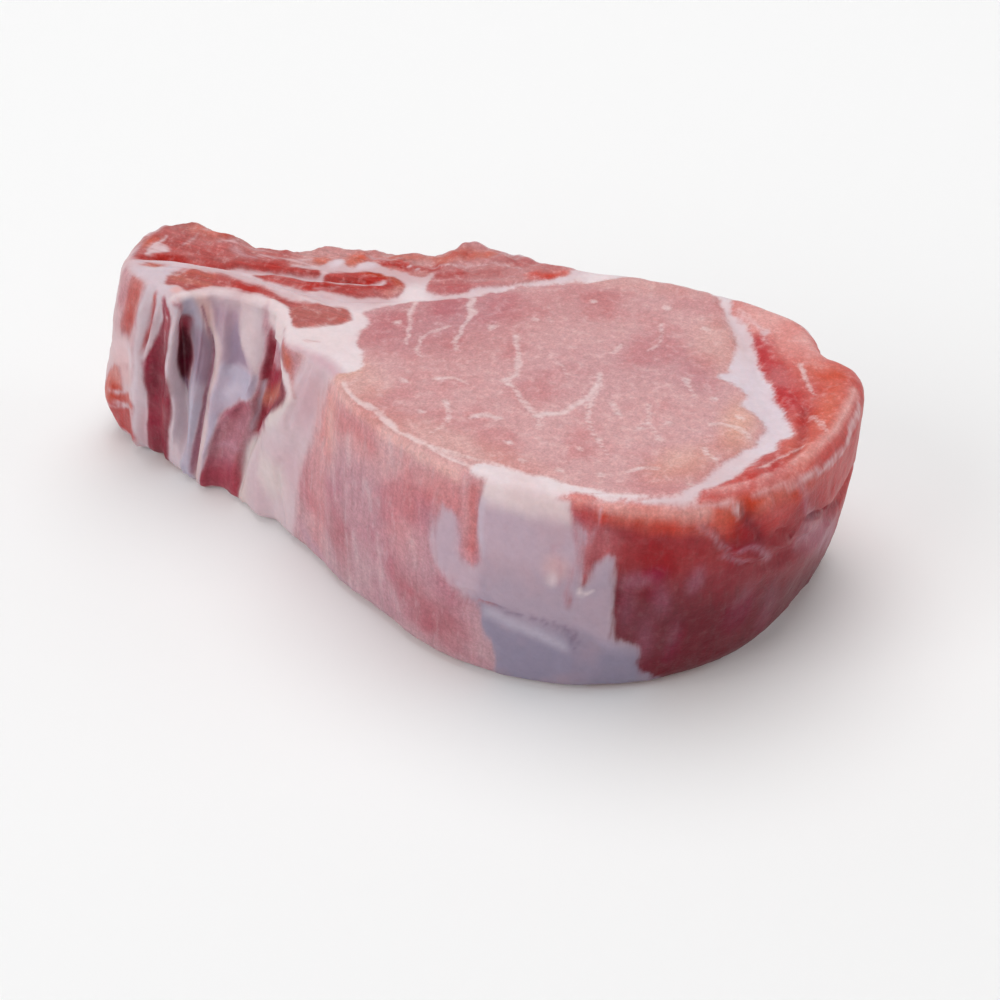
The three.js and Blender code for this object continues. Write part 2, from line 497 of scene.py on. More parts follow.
def cover(hue: Hue, shape: Shape, *edge: float, **relief: float) -> Patch:
    """Covers the lean with fat or skin."""
    return Patch(Kind.PALE, hue, shape, *edge, **relief)


def flush(hue: Hue, shape: Shape, *edge: float, **relief: float) -> Patch:
    """Changes the colour of the lean alone."""
    return Patch(Kind.LEAN_TINT, hue, shape, *edge, **relief)


def tinge(hue: Hue, shape: Shape, *edge: float, **relief: float) -> Patch:
    """Changes the colour of the fat and skin alone."""
    return Patch(Kind.PALE_TINT, hue, shape, *edge, **relief)


@dataclass
class Tissue:
    """The look of many points of the surface, while patches are laid on it."""

    lean: Array
    pale: Array
    fat: Array
    thread: Array
    rise: Array

    @classmethod
    def start(cls, count: int, lean: Hue, pale: Hue, fat: float) -> Tissue:
        """Makes the plain ground that patches go on.

        Args:
            count: How many points there are.
            lean: The colour of the lean.
            pale: The colour of the fat.
            fat: The share of fat, from 0 to 1.

        Returns:
            The tissue.
        """
        colours = [np.tile(linear(hue.value), (count, 1)) for hue in (lean, pale)]
        return cls(*colours, np.full(count, fat), np.full(count, -REACH), np.zeros(count))

    @classmethod
    def joined(cls, tissues: list[Tissue]) -> Tissue:
        """Puts tissues one after another."""
        return cls(*(np.concatenate(parts) for parts in zip(*(tissue.parts() for tissue in tissues))))

    def parts(self) -> list[Array]:
        """Lists the tissue's values."""
        return [self.lean, self.pale, self.fat, self.thread, self.rise]

    def repeated(self, rows: int) -> Tissue:
        """Repeats one row's tissue over some rows."""
        return Tissue(*(np.tile(part, (rows, 1) if part.ndim == 2 else rows) for part in self.parts()))

    def lay(self, patch: Patch, places: Array, wander: Array) -> None:
        """Lays one patch on the surface.

        Args:
            patch: The patch.
            places: Where each point is in the pattern, in millimetres.
            wander: How ragged edges shift each point.
        """
        depth = patch.shape.inside(places + wander * patch.ragged)
        share = smoothstep(depth, -patch.soft, patch.soft)[:, None] * patch.strength
        colour = linear(patch.hue.value)
        if patch.kind in (Kind.LEAN, Kind.LEAN_TINT):
            self.lean = self.lean * (1 - share) + colour * share
        if patch.kind in (Kind.PALE, Kind.PALE_TINT):
            self.pale = self.pale * (1 - share) + colour * share
        if patch.kind is Kind.LEAN:
            self.fat = self.fat * (1 - share[:, 0])
        if patch.kind is Kind.PALE:
            self.fat = self.fat + (1 - self.fat) * share[:, 0]
        if patch.kind is Kind.THREAD:
            self.thread = np.maximum(self.thread, depth)
        if patch.rise:
            self.rise = self.rise + patch.rise * smoothstep(depth, 0, patch.lip)

    def mix(self, other: Tissue, share: Array) -> Tissue:
        """Blends this tissue with another.

        Args:
            other: The other tissue, over the same points.
            share: How much of the other each point takes.

        Returns:
            The blend.
        """
        blended = []
        for mine, theirs in zip(self.parts(), other.parts()):
            part = share[:, None] if mine.ndim == 2 else share
            blended.append(mine * (1 - part) + theirs * part)
        return Tissue(*blended)


@dataclass(frozen=True)
class Fold:
    """A long bulge or groove of the surface."""

    rise: float
    width: float
    points: Points

    def height(self, places: Array) -> Array:
        """Measures how far the fold lifts each place.

        Args:
            places: Two coordinates in millimetres on each row.

        Returns:
            The lift in millimetres.
        """
        line = flow(self.points, 6, False)
        close = boxed(places, line, self.width / 2 + 1)
        lift = np.zeros(len(places))
        if close.any():
            distance, along = nearest(places[close], line, False)
            ends = np.clip(np.sin(np.pi * along), 1e-6, 1)
            half = self.width / 2 * np.sqrt(ends)
            lift[close] = self.rise * np.clip(2.4 * ends, 0, 1) * smoothstep(1 - distance / half, 0, 1)
        return lift


# Folds and patches of the wall have girth and height, and those of the faces have x and y.
WALL_FOLDS: tuple[Fold, ...] = (
    Fold(1.3, 7, ((9, 60), (9, 38), (8.7, 31), (9.4, 20), (9, 10), (9, -12))),
    Fold(-1.3, 7, ((14.8, 56), (14.6, 33), (15.2, 22), (15.6, 12), (15.5, -12))),
    Fold(-3, 6.4, ((20.4, 52), (21, 36), (20.9, 29), (21.4, 18), (22.6, 4))),
    Fold(-1.4, 5, ((25, 40), (26.7, 33), (27, 28), (26.2, 20), (25.6, 11), (25, -8))),
    Fold(1, 6, ((26, 60), (29.5, 36), (29.5, 30), (29, 20), (28.6, 11), (28, -12))),
    Fold(0.9, 8, ((34, 58), (35.8, 40), (38, 32), (38.5, 22))),
    Fold(0.8, 12, ((26, 26), (34, 26), (41, 29))),
    Fold(-1, 10, ((38, 26), (34.5, 15), (32.5, 6), (32, -12))),
    Fold(-3, 7, ((41, 50), (42.5, 34), (43.5, 27), (41, 20), (38.4, 12), (38, 0))),
    Fold(1.6, 18, ((64, 48), (55, 34), (50, 24), (46, 14), (45, -14))),
    Fold(-1, 10, ((106, 19), (120, 18.6), (132, 17.6), (143, 12))),
    Fold(-1.5, 11, ((166, 29), (184, 27.6), (196, 26.4), (212, 28))),
    Fold(1.5, 22, ((-16, 24), (-6, 13), (4, 10))),
    Fold(-1, 12, ((268, 66), (270, 30), (268, -20))),
    Fold(-1.2, 12, ((316, 66), (318, 28), (315, -20))),
    Fold(0.5, 2.2, ((14, 50), (13.1, 39.6), (12.4, 34.2), (10.4, 27))),
    Fold(-0.5, 1.8, ((12, 46), (11.7, 38), (11.2, 32), (11, 28))),
    Fold(-0.4, 2.6, ((17.2, 48), (16.6, 38), (16.2, 28), (17, 18))),
    Fold(0.8, 2, ((19.4, 50), (18.4, 40), (18.2, 31), (18.4, 25), (20, 18), (20.2, 4))),
    Fold(-0.6, 2.6, ((20.3, 44), (20.7, 36), (21, 30), (20.9, 25), (21.4, 18))),
    Fold(0.5, 2.4, ((23, 47), (23.8, 38), (23.6, 30), (22.8, 22), (22.8, 14), (22.6, 6), (22.4, -6))),
    Fold(-0.6, 1.8, ((24.6, 44), (26.5, 35), (26.8, 29), (26.3, 21), (25.7, 11), (25.3, -6))),
    Fold(0.4, 2.6, ((24.2, 50), (27.6, 36), (28.4, 30), (28.1, 22), (27.2, 12), (26.4, -6))),
    Fold(-0.5, 5, ((29.5, 44), (30.6, 37), (33, 31), (34, 27))),
    Fold(0.5, 2.2, ((32, 46), (32.6, 40), (35.6, 35.4), (38.2, 31), (37.8, 27))),
    Fold(0.5, 2.4, ((27, 6), (29, 12), (31, 18), (34.6, 23), (37.8, 27.6))),
    Fold(-0.3, 3, ((40.2, 43), (40.6, 38), (41, 31), (40.4, 24), (39, 17))),
    Fold(1.3, 7, ((41, 46), (42.5, 36), (43.2, 28), (42, 22))),
    Fold(-1.2, 8, ((47, 44), (50, 36), (48, 27))),
    Fold(0.6, 4, ((54.5, 37), (51, 29), (45, 21.6), (39.6, 14), (38.2, 4), (38.2, -6))),
    Fold(-0.5, 3, ((56, 22), (53, 17), (53.4, 10), (56, 2))),
    Fold(-0.5, 4, ((60, 47), (59, 40), (56.6, 34), (56, 28))),
    Fold(-0.35, 1.4, ((113.4, 18.6), (118.6, 18.5), (121.8, 18), (127, 17.4))),
    Fold(-0.25, 1.2, ((132, 17.4), (134.3, 14.1), (135.6, 10.6))),
    Fold(0.4, 3, ((150, 46.4), (158, 46.2), (163.4, 45.2), (165.6, 42.6))),
    Fold(-0.7, 2.4, ((156.7, 44.1), (160.3, 41), (162.5, 36.6), (165.6, 31.6), (171, 28.6))),
    Fold(0.5, 2.2, ((162.6, 35.4), (167.9, 32.8), (172.4, 30.2))),
    Fold(-0.7, 2.4, ((164.4, 46.6), (166, 43.4), (168, 40), (169.7, 36))),
    Fold(-1.2, 3, ((180, 36), (186, 33.4), (191, 30.4), (197.4, 26))),
    Fold(0.7, 4.4, ((180, 32), (186, 29), (192, 25.4), (198, 21))),
    Fold(0.7, 3, ((171.4, 34.6), (176, 31.6), (181, 27.6))),
    Fold(-0.7, 3, ((172, 37), (176, 35), (178.6, 31.8))),
)
RIM_FOLDS: tuple[Fold, ...] = (
    Fold(0.6, 3, ((22, 46), (28, 45.8), (36, 45.8), (44, 46))),
    Fold(1.1, 5.6, ((38, 47.6), (42.4, 44.8), (46.8, 42))),
)
FACE_FOLDS: tuple[Fold, ...] = (
    Fold(1.5, 19, ((-86, 6), (-74, 14), (-66, 15), (-54, 13))),
    Fold(-1.4, 5, ((-80, 0.6), (-66, 5.4), (-55, 7.2), (-44, 9.6), (-34, 11.5), (-20, 14.5))),
    Fold(0.8, 5.5, ((-74, -2), (-58, 2.6), (-48, 2.8), (-38, 2.2), (-26, 1))),
    Fold(-0.7, 6, ((-34, 4), (-22, 9), (-8, 16.5), (8, 28), (24, 40))),
    Fold(-0.8, 11, ((40, 42), (55, 25), (63, 12), (69, 1), (66, -14), (56, -28))),
    Fold(0.7, 12, ((70, 30), (77, 20), (79, 6), (77, -8), (69, -20), (56, -32))),
    Fold(0.3, 2.8, ((-74, 2.2), (-66, 3.4), (-56, 4.8), (-48, 6), (-40, 8.6), (-31, 11))),
    Fold(-0.4, 1.6, ((-50.3, 5.1), (-43, 3.9), (-35, 4.6), (-27, 5.8), (-18, 10.4))),
    Fold(0.4, 2.4, ((-48, 6.4), (-40, 7.6), (-30, 8.9), (-23, 11.4))),
    Fold(0.5, 5, ((-72, 12), (-64, 15), (-56, 14))),
    Fold(-0.5, 3, ((-14, 18), (-8, 21.6), (-1, 27.4), (6, 33))),
    Fold(0.4, 5, ((-17, 24), (-9, 30), (0, 35))),
    Fold(-0.8, 4, ((72.6, 9.6), (73.8, 5), (75.6, -1.4), (76.4, -8))),
    Fold(0.4, 3, ((60.9, -31.5), (68, -27), (72.4, -21), (77, -15.2), (81, -10), (82.6, 0))),
    Fold(-0.4, 2.4, ((58.5, 30.6), (64, 22), (67, 15), (73, 9))),
    Fold(0.7, 4.6, ((-43.4, -0.6), (-39.4, -2.6), (-36.6, -6.4), (-35, -10.4))),
)

EYE_OUTLINE: Points = (
    (-22.4, 3.6), (-20.2, 0.1), (-19.7, -4.5), (-17.8, -8.3), (-15.5, -11.2), (-13.1, -15.5), (-17.6, -19.5),
    (-15, -28), (-6.4, -34), (3.2, -40), (16, -44), (21, -42), (21.2, -35.4), (24.4, -33.8), (29, -33.4),
    (33.2, -33.1), (41.2, -32.8), (48, -32.1), (54.9, -30.3), (60.4, -27), (61.6, -24), (62.3, -19.2),
    (63.1, -15.4), (65.3, -11.9), (66.9, -6.9), (68, -3.2), (67.3, 0.5), (64.5, 3.6), (61.4, 5.1),
    (60.8, 8.5), (58.4, 12.7), (54.3, 12), (55, 15.4), (53.5, 19.3), (51.8, 25.6), (48.6, 30.5),
    (44.6, 36.2), (41, 40.6), (36.1, 40.6), (30.2, 41), (25.8, 40.6), (20.1, 37), (13.4, 32.2), (6.8, 27.4),
    (0.4, 22.9), (-5, 17.9), (-9.7, 14.7), (-14.2, 11.4), (-18.3, 7.1),
)
CAP_OUTLINE: Points = (
    (46.9, 36.4), (51.3, 31.7), (55.9, 25.1), (59.6, 18.6), (62.9, 14.4), (66.9, 8.7), (72.9, 1.2),
    (71.8, -3.3), (70.8, -8), (68.7, -14.9), (66.4, -20.4), (64.9, -24.2), (62.4, -28.8), (56, -31.4),
    (50, -33.5), (44, -34.8), (40, -36.4), (39, -50), (70, -50), (100, -20), (100, 30), (70, 52), (46, 52),
)
STRAND_OUTLINE: Points = (
    (-66.4, -2.4), (-65.4, -0.6), (-63.9, 1.2), (-62.4, 1.9), (-60.4, 2.1), (-57, 2.4), (-54.9, 2.9),
    (-52.4, 2.8), (-49.7, 2.3), (-47.6, 2.3), (-45.7, 2.2), (-43.6, 1.8), (-40.9, 1.2), (-38.3, 0.9),
    (-36, 1), (-33.6, 0.8), (-33.4, -1.6), (-34, -4.9), (-35.2, -4.2), (-36.5, -2.6), (-39, -1.4),
    (-41.3, -0.7), (-43.7, -0.4), (-45.2, -0.2), (-47.8, 0), (-50.5, 0.1), (-52.6, -0.3), (-55, -1),
    (-57.3, -2.6), (-58.5, -3.8), (-59.6, -5), (-61.6, -4.8), (-63.4, -4.2), (-65.4, -4.6),
)
OVAL_OUTLINE: Points = (
    (-36.4, -2.4), (-35.8, -0.8), (-34.6, 0.6), (-32.3, 1.2), (-30.2, 1.9), (-28, 2.5), (-26, 2.4),
    (-24.2, 1.2), (-23.2, -0.6), (-23.6, -2), (-25, -3.3), (-27.2, -4.7), (-29.4, -6.3), (-31.4, -7.4),
    (-33.3, -7.6), (-34.8, -5.6),
)
LOOP_OUTLINE: Points = (
    (-49.4, 5.8), (-47.3, 6.6), (-45, 6.9), (-42.6, 7.2), (-40, 8), (-37.4, 8.7), (-35.4, 9.6), (-35.6, 11),
    (-36.8, 12.2), (-35.9, 13.4), (-33.6, 14.5), (-30.7, 15.8), (-29, 16.9), (-26.7, 17.7), (-24.4, 17.3),
    (-21.3, 17.1), (-19, 16.1), (-18.1, 13.4), (-19, 11.4), (-20.9, 10.3), (-23.8, 9.1), (-26.7, 7.8),
    (-28.7, 7), (-31.8, 6.8), (-33.7, 6.4), (-34.8, 5.6), (-36.7, 5), (-38.3, 5.2), (-40.7, 5), (-42.7, 4.7),
    (-45.6, 4.7), (-48.2, 5),
)

FACE_PATCHES: tuple[Patch, ...] = (
    tinge(Hue.SEAM, Spot(62, 6, 12, 20, 20), 6),
    tinge(Hue.SEAM_PINK, Spot(60, -22, 9, 12, -30), 5),
    tinge(Hue.SEAM_PINK, Spot(52, 30, 6, 9, 40), 4),
    tinge(Hue.RIDGE, Spot(-76, 0, 6, 8), 3),
    tinge(Hue.BULGE_PINK, Streak(((-32, -14.6), (-24, -15.6), (-17, -19)), 1.6), 1.6),
    tinge(Hue.TAIL, Outline((
        (-90, -14), (-60, -10), (-38, 0), (-20, 6), (-18, 16), (-4, 26), (-10, 50), (-96, 40),
    )), 3),
    tinge(Hue.RIDGE, Outline(((-78, -10), (-76, 0), (-72, 4.4), (-66, 3.6), (-64, -1), (-62, -12))), 2),
    tinge(Hue.SEAM_PINK, Streak((
        (-71.2, 3.6), (-66, 4.2), (-60, 5.2), (-54, 5.6), (-48, 4.4), (-40, 3.4), (-32, 4.6), (-24, 6),
    ), 1), 1.6),
    tinge(Hue.SEAM_PINK, Outline((
        (-10, 14), (-2, 21), (6, 27), (14, 34), (10, 40), (-2, 30), (-14, 18),
    )), 1.6),
    bare(Hue.BACK, Outline((
        (-47, 12.4), (-44.1, 12.6), (-41, 13.4), (-39, 14.6), (-37.4, 16), (-37.2, 17.4), (-36.2, 18.3),
        (-34.6, 18), (-33.2, 16.9), (-31.8, 17), (-31, 18.6), (-30, 20.4), (-28.5, 21), (-26.6, 20.6),
        (-24.4, 20), (-22.2, 19.4), (-20.2, 19.6), (-18.5, 19), (-16.4, 20), (-15, 24), (-13, 26), (-8, 44),
        (-20, 44), (-47, 34),
    )), ragged=0.5),
    cover(Hue.SEAM_PINK, Spot(-42.4, 14.4, 2.2, 1), 1.2, 0.4),
    flush(Hue.LUMP_ORANGE, Spot(-39, 17, 1.8, 1.6), 1),
    cover(Hue.SEAM, Spot(-35.8, 16.9, 1.1, 1.7, 10), 0.9, 0.9),
    flush(Hue.LUMP_ORANGE, Spot(-32.8, 20, 1.9, 2.8, -20), 1.2),
    cover(Hue.SEAM, Spot(-29.4, 19.4, 2.2, 1.3, 30), 0.9, 0.9),
    cover(Hue.SEAM_PINK, Streak(((-31, 22.6), (-27, 23), (-24, 24.8)), 0.4), 0.9, 0.6),
    flush(Hue.STRAND, Streak((
        (-26.4, 22.2), (-23.6, 22.8), (-20.6, 22), (-17.6, 23.6), (-14.1, 25.2),
    ), 1.5), 1, 0.8),
    flush(Hue.LUMP_ORANGE, Streak(((-26, 24), (-21, 27), (-17, 28.6)), 0.8), 1, 0.7),
    cover(Hue.SEAM_PINK, Spot(-20.8, 22.7, 0.4, 0.9), 0.6, 0.8),
    cover(Hue.SEAM_PINK, Spot(-18.9, 22.2, 0.4, 0.8), 0.6, 0.8),
    bare(Hue.REDBACK, Outline((
        (-14.6, 20.6), (-14.2, 17.4), (-13.4, 15.8), (-10.9, 16.3), (-8, 17.5), (-5.9, 19.2), (-5.2, 20.8),
        (-0.4, 23.9), (3.2, 26), (6.5, 28.9), (9.7, 32.2), (11.4, 34.6), (11, 50), (-26, 50), (-20, 33),
        (-17, 27), (-15.4, 23),
    )), rise=0.3),
    flush(Hue.STRAND, Spot(-15.8, 25.4, 1.6, 1.8), 1, 0.8),
    flush(Hue.LUMP_ORANGE, Streak(((-16, 28.4), (-12.6, 32), (-8, 33.6)), 1.8), 1.6, 0.9),
    flush(Hue.STRAND, Streak(((-14.6, 30), (-12, 32.6)), 0.8), 1.2, 0.7),
    flush(Hue.STRAND_SOFT, Streak(((-5, 31.2), (-1.2, 33.2)), 0.9), 1.4, 0.6),
    flush(Hue.STRAND_SOFT, Streak(((-14, 21.6), (-8.3, 25.3), (-2.2, 27.8)), 0.9), 1.4, 0.75),
    flush(Hue.CAP_PLUM, Streak(((-12.6, 17.4), (-8, 19), (-5.6, 21.6)), 0.9), 1.2, 0.5),
    flush(Hue.GLOW_HOT, Streak(((4.4, 29.6), (7.4, 31.4), (10, 33.6)), 1.1), 1.2, 0.9),
    cover(Hue.SEAM_PINK, Streak((
        (-17, 24.6), (-12.4, 27.2), (-7.8, 29.4), (-3.4, 30.4), (1.1, 31),
    ), 0.45, 0.25), 1.1, 0.5),
    cover(Hue.SEAM_PINK, Streak(((-13, 20), (-5.3, 24.2), (2.2, 28.2), (6, 29.8)), 0.3, 0.2), 1, 0.4),
    bare(Hue.LUMP, Outline((
        (-82, 1), (-77.4, 1.6), (-75, 2), (-73.2, 3), (-71, 4.2), (-68, 4.8), (-65, 5.6), (-62, 6.2),
        (-58, 7), (-54, 8.2), (-50, 9.6), (-44.6, 11.6), (-46.4, 15.4), (-48, 34), (-60, 40), (-96, 34),
        (-94, 6),
    )), ragged=0.6),
    flush(Hue.LUMP_ORANGE, Spot(-75.6, 7.4, 2.4, 1.8, 10), 1.2, 0.9),
    cover(Hue.SEAM_PINK, Streak(((-75, 5.6), (-74.2, 7.6), (-73.6, 10)), 0.5, 0.3), 0.9, 0.8),
    flush(Hue.STRAND_SOFT, Spot(-71.4, 9, 3, 2.2, 20), 1.6, 0.8),
    flush(Hue.LUMP_ORANGE, Spot(-66, 16, 5, 3), 2, 0.8),
    flush(Hue.STRAND_SOFT, Streak(((-68, 8.4), (-58, 9.4), (-47, 12.4)), 1.1), 1.4, 0.8),
    flush(Hue.BACK, Spot(-54, 16, 6, 2.4, -10), 2, 0.8),
    cover(Hue.SEAM_PINK, Spot(-66.5, 15.6, 1.8, 1.4, 20), 1.4, 0.4),
    cover(Hue.SEAM_PINK, Outline((
        (-75, 3.4), (-74.6, 5.6), (-74, 7.4), (-72.2, 7.8), (-70.8, 7), (-71.8, 5.4), (-73.4, 4),
    )), 0.9, 0.8),
    cover(Hue.SEAM_PINK, Streak(((-77, 12), (-75.6, 15)), 0.6), 0.9, 0.7),
    cover(Hue.SEAM_PINK, Streak(((-68.6, 9), (-67.8, 11), (-67.4, 13)), 0.4), 0.9, 0.5),
    flush(Hue.STRAND, Spot(-62.4, 9.6, 3.6, 1.6, 8), 1.4, 0.8),
    cover(Hue.FILM_PALE, Streak(((-58, 12.4), (-55, 11.6), (-52.6, 12)), 0.7), 1.2, 0.5),
    cover(Hue.SEAM_PINK, Streak(((-62, 13), (-57, 14.6), (-52, 15.6)), 0.4), 0.9, 0.6),
    cover(Hue.SEAM_PINK, Streak(((-52, 13.4), (-46, 14.6), (-41, 16.6)), 0.4), 0.9, 0.6),
    bare(Hue.STRAND, Streak((
        (-75.4, 1.8), (-73.2, 3), (-71.2, 4.4), (-68.6, 5.2), (-65.5, 6), (-62.3, 6.9), (-58, 7.7),
        (-54.6, 8.7), (-50.5, 9.8), (-45.9, 10.8), (-41.5, 11.6), (-38.3, 12.3),
    ), 0.7, 1), 0.75, rise=0.3),
    bare(Hue.STRAND, Outline(LOOP_OUTLINE), 0.75, rise=0.3),
    cover(Hue.SEAM_PINK, Streak((
        (-50, 7.2), (-46.6, 7.9), (-44.3, 8.2), (-40.1, 9.3), (-35.9, 10.4), (-32.3, 10.6), (-28, 11.4),
        (-25.4, 12.8), (-23.4, 14.4),
    ), 0.6, 0.4), 0.7),
    cover(Hue.SEAM_PINK, Streak(((-37.4, 11.6), (-36.8, 13)), 0.4), 0.8, 0.7),
    cover(Hue.SEAM_PINK, Streak(((-35.4, 6.4), (-32.6, 7.8), (-30.6, 8.6)), 0.3), 0.8, 0.5),
    flush(Hue.RUST, Streak(((-24, 17), (-20.6, 15.8), (-19, 13.6), (-21, 11.6)), 0.9), 1.2, 0.85),
    flush(Hue.STRAND_SOFT, Streak(((-34, 7), (-28, 8.6), (-23, 10.6)), 0.8), 1, 0.7),
    flush(Hue.RUST, Streak(((-29, 16.4), (-25.4, 16.6)), 0.7), 1, 0.6),
    bare(Hue.RUST, Spot(-71, 0.8, 3.1, 0.85, 14), 0.8, 0.85),
    bare(Hue.STRAND_SOFT, Outline(STRAND_OUTLINE), 0.9),
    flush(Hue.STRAND, Streak(((-63, 0.2), (-56, 1.2), (-48, 0.8), (-40, -0.6)), 0.8), 1.2, 0.8),
    flush(Hue.RUST, Streak(((-65, -1.4), (-60, -1.6), (-57, -1)), 0.8), 1.2, 0.8),
    flush(Hue.LUMP, Streak(((-64, 2), (-59, 2.6), (-52, 2.8)), 0.5), 1, 0.7),
    bare(Hue.OVAL, Outline(OVAL_OUTLINE), rise=0.3),
    flush(Hue.STRAND_SOFT, Streak(((-34, -5.4), (-31, -5), (-27, -3)), 0.8), 1.2, 0.6),
    flush(Hue.LUMP, Streak(((-34, -1.4), (-31, 0), (-27, 0.2)), 0.6), 1, 0.6),
    cover(Hue.SEAM_PINK, Streak(((-64.6, -0.8), (-63.4, 0.6), (-62.6, 2.2)), 0.3, 0.15), 0.8, 0.6),
    cover(Hue.RIM_PINK, Spot(-61.6, -5.4, 1.4, 1, -20), 0.7, 0.9),
    tinge(Hue.RIM, Streak((
        (-59, -6.4), (-56, -4), (-53, -2.2), (-48, -1.6), (-43, -1.8), (-38, -3.6),
    ), 1), 1),
    flush(Hue.LUMP_ORANGE, Streak(((-64.6, -0.6), (-61.6, 0.8), (-57, 1.6)), 0.6), 1, 0.6),
    bare(Hue.EYE, Outline(EYE_OUTLINE), 1, rise=0.25, lip=1.6, ragged=0.7),
    flush(Hue.EYE_MAUVE, Spot(-10, 4, 12, 11, 20), 5),
    flush(Hue.EYE_DEEP, Spot(-2, 6, 15, 15, 20), 8, 0.55),
    flush(Hue.EYE_ROSE, Spot(-1, 13, 7, 10, -30), 4, 0.7),
    flush(Hue.EYE_ROSE, Spot(-8, 3, 4, 8, -20), 3, 0.5),
    flush(Hue.EYE_DEEP, Spot(18, 24, 12, 8, 30), 6, 0.4),
    flush(Hue.EYE_MAUVE, Spot(42, 12, 12, 9, 10), 6, 0.7),
    flush(Hue.EYE_ROSE, Spot(50, 8, 5, 3, -30), 3, 0.5),
    flush(Hue.EYE_PEACH, Spot(50, 22, 6, 9, 30), 4, 0.8),
    flush(Hue.EYE_PEACH, Spot(-13, -20, 8, 6, -40), 3, 0.9),
    flush(Hue.EYE_APRICOT, Spot(-17, -16.5, 4, 4), 2, 0.7),
    flush(Hue.EYE_PEACH, Spot(14, -31, 22, 4, -5), 3, 0.7),
    flush(Hue.EYE_APRICOT, Spot(62.6, -2, 3.2, 8, 12), 2.4, 0.9),
    flush(Hue.EYE_APRICOT, Spot(57, -18, 4, 7, -30), 3, 0.6),
    flush(Hue.EYE_MAUVE, Spot(26, -2, 12, 9, 10), 6, 0.4),
    flush(Hue.EYE_PEACH, Spot(24, 36, 16, 3, 10), 2.4, 0.5),
    cover(Hue.SEAM, Streak(((54, 12.4), (58.4, 11.4), (61, 10.4)), 0.9, 1.6)),
    bare(Hue.CAP, Outline(CAP_OUTLINE), 1, rise=0.25, lip=1.6, ragged=0.8),
    flush(Hue.CAP_PINK, Spot(60, 32, 12, 7, -35), 4),
    flush(Hue.CAP_PINK, Streak(((40, -37.4), (46, -36.6), (56, -34), (62, -30)), 1.6), 1.8),
    flush(Hue.CAP_MAUVE, Streak(((56, 27), (60, 21.6), (65.4, 14.4), (70, 9)), 2.6, 2), 2.4, 0.9),
    flush(Hue.CAP_PINK, Spot(52, 35, 6, 3, -30), 3, 0.8),
    flush(Hue.CAP_ORANGE, Spot(77.4, 10, 2.6, 9, 8), 3, 0.8),
    flush(Hue.CAP_ORANGE, Spot(72, 22, 5, 4, -30), 3, 0.5),
    flush(Hue.CAP_ORANGE, Spot(77, -6, 3, 6, 20), 2.6, 0.6),
    flush(Hue.CAP_SIDE_RED, Streak((
        (72.8, 8.7), (73.8, 6), (75.1, 0.8), (76.2, -4.8), (76, -9),
    ), 0.9, 0.6), 1.4, 0.7),
    flush(Hue.CAP_SIDE_RED, Spot(73.4, -13, 2.4, 5, 20), 2, 0.35),
    # Painted highlight along the cap's rounded rim.
    flush(Hue.RIM_LIGHT, Streak((
        (80.2, 18), (80.6, 13), (80.8, 8.3), (80.4, 3.6), (79.8, 0), (78.9, -3.6), (77.9, -7.6),
        (76.6, -11.4), (75, -14.4), (72.6, -18), (69.4, -21.4), (66.2, -24.2),
    ), 0.9, 0.4), 1, 0.65),
    cover(Hue.SEAM_PINK, Streak(((49, 35.4), (54, 32), (58, 27)), 0.7, 0.4), 1.4, 0.5),
    cover(Hue.SEAM_PINK, Spot(56.4, 30.6, 0.7, 1.2), 0.9, 0.7),
    tinge(Hue.RIM, Spot(-26, -9, 6, 4, -20), 3, 0.8),
    cover(Hue.RIM, Streak((
        (-61.4, -8.4), (-60.2, -6.4), (-58.2, -4.8), (-56, -3.6), (-53.4, -2.4),
    ), 0.6, 0.3), 0.7),
    cover(Hue.RIM, Outline((
        (-37.2, -3.8), (-35.6, -5.2), (-34.8, -7.4), (-33.6, -12), (-38, -16), (-41, -10),
    ))),
    bare(Hue.RUST, Streak(((-28.4, -11), (-25.8, -10.4)), 0.4, 0.25), 0.9, 0.6),
)
